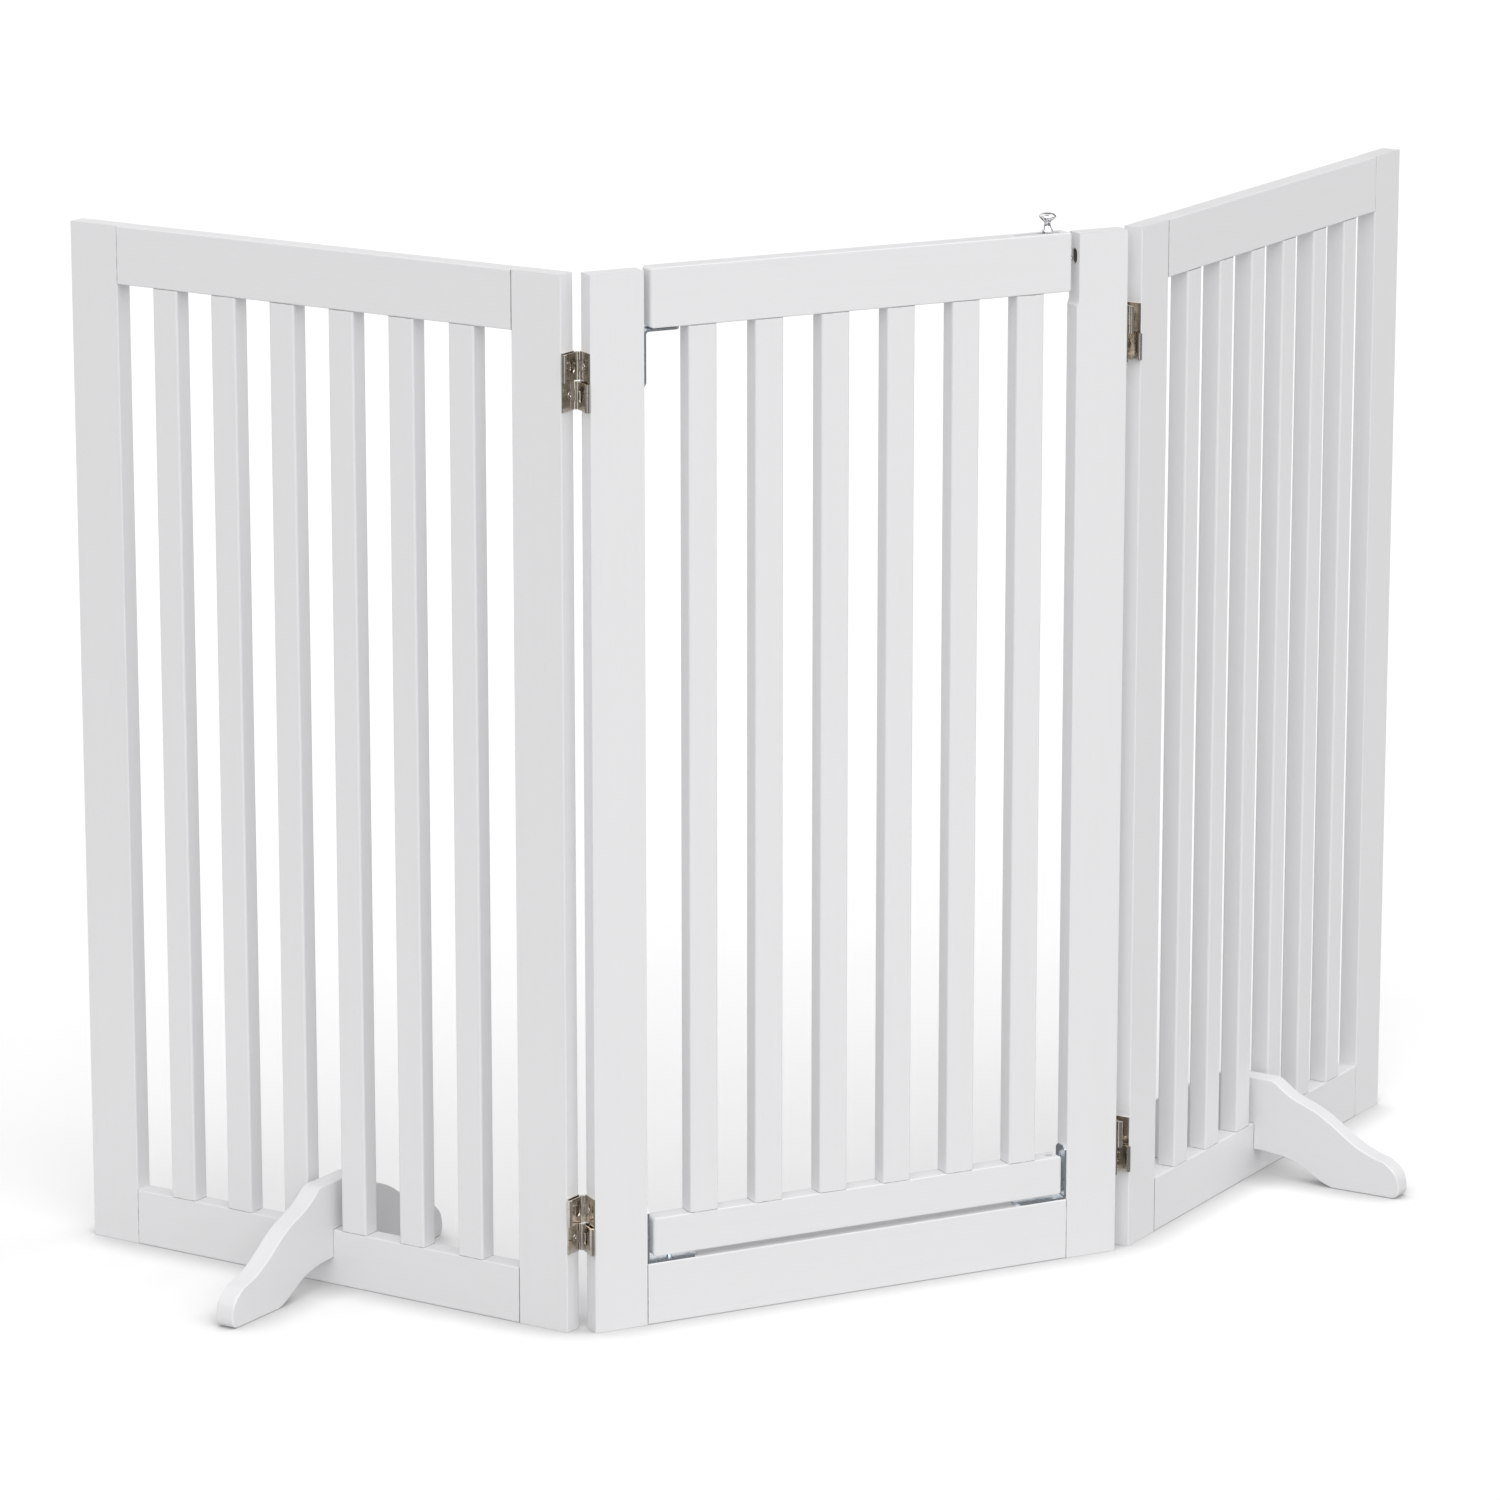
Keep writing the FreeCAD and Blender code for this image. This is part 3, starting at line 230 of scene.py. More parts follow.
# %% Sky
BRIGHT_SIDE = (-0.45, -0.9)  # to the front, and a little to the left
SKY_BEHIND, SKY_OVERHEAD = 0.34, 0.5  # how bright it still is there, as a share
WINDOW_GLOW = 2.4  # what the bright window adds to the mirrored sky
world = bpy.data.worlds.new("Studio")
bpy.context.scene.world = world
world.use_nodes = True
sky = world.node_tree
looking = put(sky, "ShaderNodeSeparateXYZ", {0: put(sky, "ShaderNodeTexCoord").outputs["Generated"]}).outputs
frontness = math_node(sky, "MULTIPLY", looking["Y"], BRIGHT_SIDE[1])
frontness = math_node(sky, "MULTIPLY_ADD", looking["X"], BRIGHT_SIDE[0], frontness)
paint_light = remap(sky, frontness, -0.6, 0.6, SKY_BEHIND, 1.0)
overhead = remap(sky, looking["Z"], 0.25, 0.85, 1.0, SKY_OVERHEAD)
paint_light = math_node(sky, "MULTIPLY", paint_light, overhead)
window = math_node(sky, "MULTIPLY", remap(sky, looking["Z"], 0.15, 0.40), remap(sky, frontness, 0.10, 0.45))
surroundings = remap(sky, looking["Z"], -0.1, 0.7, 0.07, 0.40)
mirror_light = math_node(sky, "ADD", surroundings, math_node(sky, "MULTIPLY", window, WINDOW_GLOW))
rays = put(sky, "ShaderNodeLightPath").outputs
strength = put(sky, "ShaderNodeMix", {0: rays["Is Glossy Ray"], 2: paint_light, 3: mirror_light}).outputs[0]
strength = put(sky, "ShaderNodeMix", {0: rays["Is Camera Ray"], 2: strength, 3: 1.0}).outputs[0]
fill(sky, sky.nodes["Background"], {"Color": (1.0, 1.0, 1.0, 1), "Strength": strength})
print("sky has", len(sky.nodes), "nodes")

# %% [markdown]
# ## Building a node group without clutter
# Every finish below is a tree of shader nodes, and the effects that several finishes share are groups. One more
# helper makes a group with named inputs and outputs, so that each finish reads like a recipe.


# %% Helper for node groups
def new_group(name, inputs, outputs):
    """A shader node group. inputs maps a name to (kind, default), and outputs maps a name to a kind."""
    kinds = {"number": "NodeSocketFloat", "vector": "NodeSocketVector", "colour": "NodeSocketColor"}
    group = bpy.data.node_groups.new(name, "ShaderNodeTree")
    for label, (kind, default) in inputs.items():
        socket = group.interface.new_socket(label, in_out="INPUT", socket_type=kinds[kind])
        if default is not None:
            socket.default_value = default
    for label, kind in outputs.items():
        group.interface.new_socket(label, in_out="OUTPUT", socket_type=kinds[kind])
    return group, group.nodes.new("NodeGroupInput").outputs, group.nodes.new("NodeGroupOutput").inputs


print("helper:", new_group.__name__)

# %% [markdown]
# ## The paint film
# The gate is sprayed with a satin white. A sprayed film isn't flat: it has a fine pebbled skin, and the grain of the
# pine under it still shows as faint long ripples. It is also a touch thicker here and thinner there, which
# moves the shine more than the colour. All of that is one group, because every board wears the same paint. Its
# vector comes in with the board's own length along Z, so one group serves uprights, rails and feet.


# %% Group: paint over wood
THIN_PAINT = (0.745, 0.747, 0.755, 1)
GROOVE_TONE = (0.62, 0.62, 0.61, 1)
DUST_TONE = (0.5, 0.5, 0.49, 1)
ALONG_GRAIN = (1.0, 1.0, 0.035)  # squeezes a pattern's Z, which stretches it along the board


def make_paint_group():
    group, given, result = new_group(
        "Paint over wood",
        {
            "Vector": ("vector", None),
            "Paint": ("colour", (0.8, 0.8, 0.8, 1)),
            "Grain": ("number", 1.0),
            "Skin": ("number", 1.0),
        },
        {"Colour": "colour", "Roughness": "number", "Height": "number"},
    )
    place = given["Vector"]
    stretched = put(group, "ShaderNodeVectorMath", {0: place, 1: ALONG_GRAIN}, operation="MULTIPLY").outputs[0]
    wander = put(group, "ShaderNodeTexNoise", {"Vector": place, "Scale": 5.0, "Detail": 2.0})
    sway = {0: wander.outputs["Color"], 1: (0.006, 0.006, 0.0), 2: stretched}
    swayed = put(group, "ShaderNodeVectorMath", sway, operation="MULTIPLY_ADD").outputs[0]
    ring_size = {"Vector": swayed, "Scale": 260.0, "Detail": 3.0, "Roughness": 0.6}
    rings = put(group, "ShaderNodeTexNoise", ring_size).outputs[0]
    fibres = put(group, "ShaderNodeTexNoise", {"Vector": stretched, "Scale": 1500.0, "Detail": 2.0}).outputs[0]
    skin_size = {"Vector": place, "Scale": 700.0, "Detail": 1.5, "Roughness": 0.45}
    skin = put(group, "ShaderNodeTexNoise", skin_size).outputs[0]
    cloud = put(group, "ShaderNodeTexNoise", {"Vector": place, "Scale": 7.0, "Detail": 3.0}).outputs[0]
    # Specks of dust: small dots, of which only a few are kept
    specks = put(group, "ShaderNodeTexVoronoi", {"Vector": place, "Scale": 55.0, "Randomness": 1.0})
    dust = remap(group, specks.outputs["Distance"], 0.0, 0.028, 1.0, 0.0)
    rare = put(group, "ShaderNodeSeparateColor", {0: specks.outputs["Color"]}).outputs[0]
    nib = math_node(group, "MULTIPLY", dust, remap(group, rare, 0.80, 0.82))
    # Colour: thin paint, grooves of the grain, then dust
    thinness = math_node(group, "MULTIPLY", remap(group, cloud, 0.3, 0.7, 0.0, 1.0), 0.22)
    colour = mix_colour(group, thinness, given["Paint"], THIN_PAINT)
    groove = math_node(group, "MULTIPLY", remap(group, rings, 0.36, 0.52, 1.0, 0.0), 0.035)
    colour = mix_colour(group, groove, colour, GROOVE_TONE)
    colour = mix_colour(group, math_node(group, "MULTIPLY", nib, 0.12), colour, DUST_TONE)
    group.links.new(colour, result["Colour"])
    gloss = remap(group, cloud, 0.25, 0.75, 0.36, 0.50)
    pebbles = math_node(group, "MULTIPLY", remap(group, skin, 0.3, 0.7, -0.5, 0.5), 0.06)
    group.links.new(math_node(group, "ADD", gloss, pebbles), result["Roughness"])
    # Height: the grain, the skin of the film, then dust
    long_rings = math_node(group, "MULTIPLY", rings, 0.8)
    ripple = math_node(group, "ADD", long_rings, math_node(group, "MULTIPLY", fibres, 0.2))
    height = math_node(group, "MULTIPLY", ripple, given["Grain"])
    height = math_node(group, "MULTIPLY_ADD", skin, math_node(group, "MULTIPLY", given["Skin"], 0.35), height)
    group.links.new(math_node(group, "MULTIPLY_ADD", nib, 0.6, height), result["Height"])
    return group


PAINT_GROUP = make_paint_group()
print("paint group has", len(PAINT_GROUP.nodes), "nodes")

# %% [markdown]
# ## Hairlines where boards meet
# Paint bridges the joint between a stile and a rail, and then cracks along it as the wood moves. The crack is a
# hairline that comes and goes. It follows the joint, not the board, so the group takes the panel's own coordinates
# and draws a broken line at each joint's distance from the middle of its panel.


# %% Group: cracked joint
FACE_DEPTH = 0.0006  # how far under a board's face still counts as the face
STILE_MARGIN = 0.004  # how far inside the stiles a board has to be to count as a slat


def distance(tree, value, mark):
    return math_node(tree, "ABSOLUTE", math_node(tree, "SUBTRACT", value, mark))


def fading_line(tree, off, width):
    """1 on a line, and down to 0 at its width from it."""
    inside = math_node(tree, "SUBTRACT", 1.0, math_node(tree, "DIVIDE", off, width))
    return math_node(tree, "MAXIMUM", inside, 0.0)


def make_joint_group():
    group, given, result = new_group(
        "Cracked joint",
        {
            "Vector": ("vector", None),
            "Middle": ("number", 0.0),
            "Reach": ("number", 0.206),
            "Low end": ("number", 0.055),
            "High end": ("number", 0.869),
            "Half thickness": ("number", 0.009),
            "Slat foot": ("number", 0.050),
            "Slat head": ("number", 0.869),
            "Width": ("number", 0.0007),
        },
        {"Mask": "number"},
    )
    x, deep, z = put(group, "ShaderNodeSeparateXYZ", {0: given["Vector"]}).outputs
    waver = put(group, "ShaderNodeTexNoise", {"Vector": given["Vector"], "Scale": 160.0, "Detail": 3.0}).outputs[0]
    width = math_node(group, "MULTIPLY", given["Width"], remap(group, waver, 0.35, 0.65, 0.25, 1.0))
    # The line between a stile and a rail: upright, at the rails' heights, on the front and back faces only
    across = distance(group, x, given["Middle"])
    line = fading_line(group, distance(group, across, given["Reach"]), width)
    below = math_node(group, "LESS_THAN", z, given["Low end"])
    above = math_node(group, "GREATER_THAN", z, given["High end"])
    face = math_node(group, "SUBTRACT", given["Half thickness"], FACE_DEPTH)
    on_face = math_node(group, "GREATER_THAN", math_node(group, "ABSOLUTE", deep), face)
    where = math_node(group, "MULTIPLY", math_node(group, "MAXIMUM", below, above), on_face)
    joint_line = math_node(group, "MULTIPLY", line, where)
    # The lines at a slat's foot and head: level, and half as wide again
    foot = distance(group, z, given["Slat foot"])
    head = distance(group, z, given["Slat head"])
    end = math_node(group, "MINIMUM", foot, head)
    slat_line = fading_line(group, end, math_node(group, "MULTIPLY", width, 1.5))
    is_slat = math_node(group, "LESS_THAN", across, math_node(group, "SUBTRACT", given["Reach"], STILE_MARGIN))
    slat_line = math_node(group, "MULTIPLY", slat_line, is_slat)
    drawn = math_node(group, "MAXIMUM", joint_line, slat_line)
    group.links.new(put(group, "ShaderNodeClamp", {"Value": drawn}).outputs[0], result["Mask"])
    return group


JOINT_GROUP = make_joint_group()
print("joint group has", len(JOINT_GROUP.nodes), "nodes")

# %% [markdown]
# ## Painted boards
# Three panels, each with uprights and rails, need the grain turned in different ways, and each panel needs its
# hairlines in its own frame. A Mapping node set to Texture undoes a panel's place and turn. A second one then lays
# the board's length along Z for the paint group.


# %% Material: painted board
def finish_tree(name):
    """A new material with its output and one Principled shader."""
    material = bpy.data.materials.new(name)
    material.use_nodes = True
    tree = material.node_tree
    return material, tree, tree.nodes["Principled BSDF"]


def wire_bump(tree, shader, height, distance_m):
    bump = put(tree, "ShaderNodeBump", {"Height": height, "Distance": distance_m})
    tree.links.new(bump.outputs[0], shader.inputs["Normal"])


def inside_box(tree, place, low, high):
    """1 inside a box, and 0 outside it."""
    split = put(tree, "ShaderNodeSeparateXYZ", {0: place})
    inside = 1.0
    for axis, start, end in zip("XYZ", low, high):
        off = distance(tree, split.outputs[axis], (start + end) / 2)
        inside = math_node(tree, "MULTIPLY", math_node(tree, "LESS_THAN", off, (end - start) / 2), inside)
    return inside


CRACK_TONE = (0.16, 0.155, 0.15, 1)
# Bare wood inside the latch hole, darkened with painted shade far below the wood's own colour
BARE_WOOD_SHADE_TONE = (0.09, 0.065, 0.045, 1)
PAINT_DEPTH = 0.00012
TURNS = {  # how the paint group's Z is laid along a board
    "upright": (0, 0, 0),
    "rail": (0, math.radians(90), 0),
    "foot": (math.radians(90), 0, 0),
}


def painted_board(name, panel, along):
    """along is upright, rail or foot: the way the board's length runs in its panel."""
    material, tree, shader = finish_tree(name)
    point, angle = PANELS[panel]
    place = put(tree, "ShaderNodeTexCoord").outputs["Object"]
    stand = {"Vector": place, "Location": point, "Rotation": (0, 0, angle)}
    in_panel = put(tree, "ShaderNodeMapping", stand, vector_type="TEXTURE").outputs[0]
    turn = {"Vector": in_panel, "Rotation": TURNS[along]}
    along_board = put(tree, "ShaderNodeMapping", turn, vector_type="TEXTURE").outputs[0]
    film = {"Vector": along_board, "Paint": PAINT, "Grain": 0.55 if along == "foot" else 1.0}
    paint = put(tree, "ShaderNodeGroup", film, node_tree=PAINT_GROUP)
    colour, height = paint.outputs["Colour"], paint.outputs["Height"]
    if along != "foot":
        low_end, high_end = JOINT_ENDS[panel]
        slat_foot, slat_head = SLAT_ENDS[panel] if along == "upright" else NO_SLATS
        marks = {
            "Vector": in_panel,
            "Middle": JOINT_MIDDLE[panel],
            "Reach": JOINT_REACH,
            "Low end": low_end,
            "High end": high_end,
            "Slat foot": slat_foot,
            "Slat head": slat_head,
        }
        crack = put(tree, "ShaderNodeGroup", marks, node_tree=JOINT_GROUP).outputs["Mask"]
        colour = mix_colour(tree, math_node(tree, "MULTIPLY", crack, 0.75), colour, CRACK_TONE)
        height = math_node(tree, "MULTIPLY_ADD", crack, -1.5, height)
    if (panel, along) == ("centre", "upright"):
        # Painted shade: the inside of the latch hole is coloured as bare wood lying in deep shade
        hole = inside_box(tree, place, *LATCH_HOLE)
        colour = mix_colour(tree, math_node(tree, "MULTIPLY", hole, 0.85), colour, BARE_WOOD_SHADE_TONE)
    surface = {
        "Base Color": colour,
        "Roughness": paint.outputs["Roughness"],
        "Specular IOR Level": 0.5,
        "Coat Weight": 0.08,
        "Coat Roughness": 0.3,
    }
    fill(tree, shader, surface)
    wire_bump(tree, shader, height, PAINT_DEPTH)
    return material


PAINT = (0.78, 0.78, 0.79, 1)
bolt_low, bolt_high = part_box("latch_bolt")
post_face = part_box("right_post")[0].x
HOLE_START, HOLE_END = 0.0035, 0.03  # how far into the post the bare wood starts and ends
HOLE_SIDE, HOLE_MARGIN = 0.002, 0.008  # room beside the bolt, and over and under it
LATCH_HOLE = (
    Vector((post_face + HOLE_START, bolt_low.y - HOLE_SIDE, bolt_low.z - HOLE_MARGIN)),
    Vector((post_face + HOLE_END, bolt_high.y + HOLE_SIDE, bolt_high.z + HOLE_MARGIN)),
)
sill_low, sill_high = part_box("centre_sill_rail")
JOINT_REACH = (sill_high.x - sill_low.x) / 2
wing_middle = abs(joints["right_back_fold"]["pos_m"][0])
JOINT_MIDDLE = {"centre": 0.0, "left": -wing_middle, "right": wing_middle}
wing_ends = (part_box("left_wing_bottom_rail")[1].z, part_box("left_wing_top_rail")[0].z)
NO_TOP_RAIL = 2.0  # above the gate: the posts run past the door, so there is no joint up there
JOINT_ENDS = {"centre": (sill_high.z, NO_TOP_RAIL), "left": wing_ends, "right": wing_ends}
slat_low, slat_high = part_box("door_slat_1")
NO_SLATS = (-1.0, -1.0)  # below the floor, where nothing is painted
SLAT_ENDS = {"centre": (slat_low.z, slat_high.z), "left": wing_ends, "right": wing_ends}
BOARDS = {
    (panel, along): painted_board(f"white paint, {panel} {along}", panel, along)
    for panel in PANELS
    for along in ("upright", "rail", "foot")
    if (panel, along) != ("centre", "foot")
}
print(len(BOARDS), "painted finishes; joints", round(JOINT_REACH, 4), "m from the middle of a panel")

# %% [markdown]
# ## Plated steel
# Three platings sit side by side on this gate, and they are easy to tell apart. The hinges are nickel plated: warm,
# fairly bright, with fine die marks. The angle brackets are zinc plated and blue passivated: cooler, with a faint
# cloudy bloom. The knob is chromed and polished. They share one group for marks and bloom, with their own values.


# %% Group: plated steel
def make_plating_group():
    group, given, result = new_group(
        "Plated steel",
        {
            "Vector": ("vector", None),
            "Metal": ("colour", (0.7, 0.7, 0.7, 1)),
            "Bloom": ("colour", (0.6, 0.6, 0.6, 1)),
            "Bloom amount": ("number", 0.5),
            "Bloom scale": ("number", 300.0),
            "Smooth": ("number", 0.15),
            "Rough": ("number", 0.35),
            "Marks": ("number", 1.0),
        },
        {"Colour": "colour", "Roughness": "number", "Height": "number"},
    )
    place, scale = given["Vector"], given["Bloom scale"]
    bloom_size = {"Vector": place, "Scale": scale, "Detail": 4.0, "Roughness": 0.6}
    bloom = put(group, "ShaderNodeTexNoise", bloom_size).outputs[0]
    crystal_size = {"Vector": place, "Scale": math_node(group, "MULTIPLY", scale, 2.2)}
    crystals = put(group, "ShaderNodeTexVoronoi", crystal_size).outputs["Color"]
    facet = put(group, "ShaderNodeSeparateColor", {0: crystals}).outputs[0]
    soft_bloom = math_node(group, "MULTIPLY", remap(group, bloom, 0.35, 0.65), 0.9)
    cloudy = math_node(group, "MULTIPLY_ADD", facet, 0.1, soft_bloom)
    drawn = put(group, "ShaderNodeVectorMath", {0: place, 1: (1.0, 1.0, 0.03)}, operation="MULTIPLY").outputs[0]
    streaks = put(group, "ShaderNodeTexNoise", {"Vector": drawn, "Scale": 3000.0, "Detail": 3.0}).outputs[0]
    hair_size = {"Vector": place, "Scale": 900.0, "Detail": 6.0, "Distortion": 3.0}
    hair = put(group, "ShaderNodeTexNoise", hair_size).outputs[0]
    # A scratch is a thin level line of the noise
    scratch = remap(group, hair, 0.49, 0.505, 0.0, 1.0)
    scratch = math_node(group, "MULTIPLY", scratch, remap(group, hair, 0.505, 0.52, 1.0, 0.0))
    amount = math_node(group, "MULTIPLY", cloudy, given["Bloom amount"])
    group.links.new(mix_colour(group, amount, given["Metal"], given["Bloom"]), result["Colour"])
    spread = math_node(group, "SUBTRACT", given["Rough"], given["Smooth"])
    rough = math_node(group, "MULTIPLY_ADD", cloudy, spread, given["Smooth"])
    scuffs = math_node(group, "MULTIPLY", math_node(group, "MULTIPLY", scratch, given["Marks"]), 0.12)
    group.links.new(math_node(group, "ADD", rough, scuffs), result["Roughness"])
    ridges = math_node(group, "MULTIPLY", streaks, 0.5)
    cut = math_node(group, "MULTIPLY_ADD", scratch, -0.25, ridges)
    group.links.new(math_node(group, "MULTIPLY", cut, given["Marks"]), result["Height"])
    return group


PLATING_GROUP = make_plating_group()
print("plating group has", len(PLATING_GROUP.nodes), "nodes")

# %% Materials: the platings, the bolt and the screws
def plated(name, metal, bloom, amount, scale, smooth, rough, marks, depth):
    """depth is the height of the marks in metres. The other values are the plating group's, in its order."""
    material, tree, shader = finish_tree(name)
    values = {
        "Vector": put(tree, "ShaderNodeTexCoord").outputs["Object"],
        "Metal": (*metal, 1),
        "Bloom": (*bloom, 1),
        "Bloom amount": amount,
        "Bloom scale": scale,
        "Smooth": smooth,
        "Rough": rough,
        "Marks": marks,
    }
    plating = put(tree, "ShaderNodeGroup", values, node_tree=PLATING_GROUP).outputs
    fill(tree, shader, {"Metallic": 1.0, "Base Color": plating["Colour"], "Roughness": plating["Roughness"]})
    wire_bump(tree, shader, plating["Height"], depth)
    return material


NICKEL = plated("nickel plate", (0.82, 0.77, 0.70), (0.46, 0.41, 0.35), 0.55, 70.0, 0.09, 0.18, 0.5, 6e-6)
ZINC = plated("blue zinc plate", (0.80, 0.84, 0.87), (0.58, 0.65, 0.72), 0.6, 90.0, 0.15, 0.30, 0.5, 1e-5)
CHROME = plated("polished chrome", (0.86, 0.87, 0.89), (0.80, 0.82, 0.85), 0.3, 400.0, 0.04, 0.08, 0.2, 4e-6)
BRIGHT_STEEL = plated("bright steel rod", (0.76, 0.77, 0.78), (0.66, 0.67, 0.69), 0.4, 400.0, 0.14, 0.24, 0.5, 1e-5)
SCREW_STEEL = plated("nickel screw", (0.84, 0.81, 0.76), (0.68, 0.65, 0.60), 0.4, 600.0, 0.12, 0.22, 0.4, 1e-5)
ZINC_SCREW = plated("zinc screw", (0.80, 0.84, 0.88), (0.66, 0.71, 0.77), 0.4, 600.0, 0.14, 0.26, 0.4, 1e-5)
METALS = (NICKEL, ZINC, CHROME, BRIGHT_STEEL, SCREW_STEEL, ZINC_SCREW)
print("metals:", ", ".join(metal.name for metal in METALS))

# %% [markdown]
# ## Bare beech
# Dowels hold the boards together. They are out of sight, but an exploded view or an opened joint shows them, so they
# are beech: pale, with short dark flecks along the grain.


# %% Material: beech dowel
PALE_BEECH, DARK_BEECH = (0.66, 0.46, 0.27, 1), (0.52, 0.33, 0.18, 1)
FLECK_TONE = (0.30, 0.17, 0.09, 1)
GRAIN_DEPTH = 0.0001


def beech():
    material, tree, shader = finish_tree("bare beech")
    place = put(tree, "ShaderNodeTexCoord").outputs["Object"]
    grain_size = {"Vector": place, "Scale": 420.0, "Detail": 4.0, "Roughness": 0.65, "Distortion": 0.4}
    grain = put(tree, "ShaderNodeTexNoise", grain_size).outputs[0]
    flecks = put(tree, "ShaderNodeTexVoronoi", {"Vector": place, "Scale": 900.0}).outputs["Distance"]
    body = mix_colour(tree, remap(tree, grain, 0.35, 0.65), PALE_BEECH, DARK_BEECH)
    colour = mix_colour(tree, remap(tree, flecks, 0.1, 0.25, 0.35, 0.0), body, FLECK_TONE)
    fill(tree, shader, {"Base Color": colour, "Roughness": remap(tree, grain, 0.3, 0.7, 0.55, 0.75)})
    wire_bump(tree, shader, grain, GRAIN_DEPTH)
    return material


BEECH = beech()
print(BEECH.name, "has", len(BEECH.node_tree.nodes), "nodes")

# %% [markdown]
# ## A floor that stays in the background
# The floor is nearly white to look at, with a tight soft shadow where wood stands on it. Seen by the gate it is
# greyer, as a real studio floor is outside its pool of light, or it would light the boards from below as strongly
# as the sky does from above, and flatten them. Upright metal mirrors the floor in front of it, so the floor also
# holds a bright strip that only mirror reflections see, which puts a highlight on each hinge barrel.


# %% Material: floor
def grey(value):
    return (value, value, value, 1)


SHADOW_REACH = 0.045  # how far from the wood the contact shadow goes
STRIP_MIDDLE, STRIP_CORE, STRIP_END = -1.1, 0.35, 0.8  # where the bright strip lies, and how it fades out


def pale_floor():
    material, tree, shader = finish_tree("pale floor")
    place = put(tree, "ShaderNodeTexCoord").outputs["Object"]
    mottle = put(tree, "ShaderNodeTexNoise", {"Vector": place, "Scale": 3.0, "Detail": 4.0}).outputs[0]
    tone = mix_colour(tree, remap(tree, mottle, 0.3, 0.7), grey(0.95), grey(0.97))
    # Painted contact shadow: the floor's colour turns grey near the wood, from an ambient occlusion reading
    corner = put(tree, "ShaderNodeAmbientOcclusion", {"Distance": SHADOW_REACH}, samples=12).outputs["AO"]
    tone = mix_colour(tree, remap(tree, corner, 0.35, 0.95), grey(0.50), tone)
    rays = put(tree, "ShaderNodeLightPath").outputs
    across = put(tree, "ShaderNodeSeparateXYZ", {0: place}).outputs["X"]
    strip = remap(tree, distance(tree, across, STRIP_MIDDLE), STRIP_CORE, STRIP_END, 1.0, 0.0)
    mirrored = mix_colour(tree, strip, grey(0.16), grey(1.0))
    unseen = mix_colour(tree, rays["Is Glossy Ray"], grey(0.55), mirrored)
    surface = {
        "Base Color": mix_colour(tree, rays["Is Camera Ray"], unseen, tone),
        "Emission Color": grey(1.0),
        "Emission Strength": 0.05,
        "Roughness": 0.9,
        "Specular IOR Level": 0.0,
    }
    fill(tree, shader, surface)
    return material


floor.data.materials.append(pale_floor())
print("floor wears", floor.data.materials[0].name)

# %% [markdown]
# ## Dressing the CAD parts
# A CAD part keeps its mesh and only changes its material. Its name says what it is, so a short rule picks the
# finish: stiles, posts and slats are uprights, rails lie down, and the rest is metal or beech.


# %% Assign the finishes
def panel_of(node):
    for side in ("left", "right"):
        if node.startswith(f"{side}_wing") or node == f"{side}_support_foot":
            return side
    return "centre"


def finish_for(node):
    if "dowels" in node:
        return BEECH
    if "hinge_screws" in node:
        return SCREW_STEEL
    if node == "bracket_screws":
        return ZINC_SCREW
    if "hinge_stile" not in node and ("hinge" in node or "link_pins" in node):
        return NICKEL
    if "bracket" in node or "pivot_pin" in node:
        return ZINC
    if node == "latch_bolt":
        return BRIGHT_STEEL
    if node == "latch_knob":
        return CHROME
    if "foot" in node:
        return BOARDS[panel_of(node), "foot"]
    return BOARDS[panel_of(node), "rail" if "rail" in node else "upright"]


for node, obj in nodes.items():
    obj.data.materials.clear()
    obj.data.materials.append(finish_for(node))
print(len(nodes), "CAD parts dressed")

# %% [markdown]
# ## Screw heads
# The hinges and brackets are held by countersunk screws with a cross recess. All the screws on a board are one mesh
# that Geometry Nodes make: the tree builds a single screw from a few sizes, cuts the tapered cross out of its head,
# and puts a copy at each point, turned at random about its own axis, because nobody lines up screws. The points,
# directions and sizes are measured on the CAD screws, which the new ones then replace.


# %% Measure the CAD screws
SAME_POINT = 1e-6
HEAD_BAND = 0.0003  # points this close under a screw's top belong to its head


def shells(node):
    """The points of each separate shell of a CAD part, in a fixed order."""
    work = bmesh.new()
    work.from_mesh(nodes[node].data)
    bmesh.ops.remove_doubles(work, verts=work.verts, dist=SAME_POINT)
    seen, found = set(), []
    for first in work.verts:
        if first in seen:
            continue
        seen.add(first)
        waiting, points = [first], []
        while waiting:
            vertex = waiting.pop()
            points.append(vertex.co.copy())
            for edge in vertex.link_edges:
                other = edge.other_vert(vertex)
                if other not in seen:
                    seen.add(other)
                    waiting.append(other)
        found.append(points)
    work.free()
    return found


def measure_screw(points):
    """Middle of the head's top, the way it faces, its radius, and the screw's length."""
    mean = sum(points, Vector()) / len(points)
    tip = max(points, key=lambda point: (point - mean).length)
    outward = (mean - tip).normalized()
    top = max((point - tip).dot(outward) for point in points)
    head = [point for point in points if (point - tip).dot(outward) > top - HEAD_BAND]
    middle = sum(head, Vector()) / len(head)
    outward = (middle - tip).normalized()
    return middle, outward, max((point - middle).length for point in head), (middle - tip).length


for node in ("centre_hinge_screws", "bracket_screws"):
    middle, outward, radius, length = measure_screw(shells(node)[0])
    sizes = [round(size * 1000, 2) for size in (2 * radius, length)]
    print(node, len(shells(node)), "screws, head and length in mm:", sizes)

# %% [markdown]
# ## A screw as a turned shape
# A screw is a turned part, so its tree does what a lathe does. A line of five points runs down the axis, each point
# has its own radius, and Curve to Mesh wraps a circle round them. Two bars that narrow downwards are then taken out
# of the head, which leaves the cross recess.


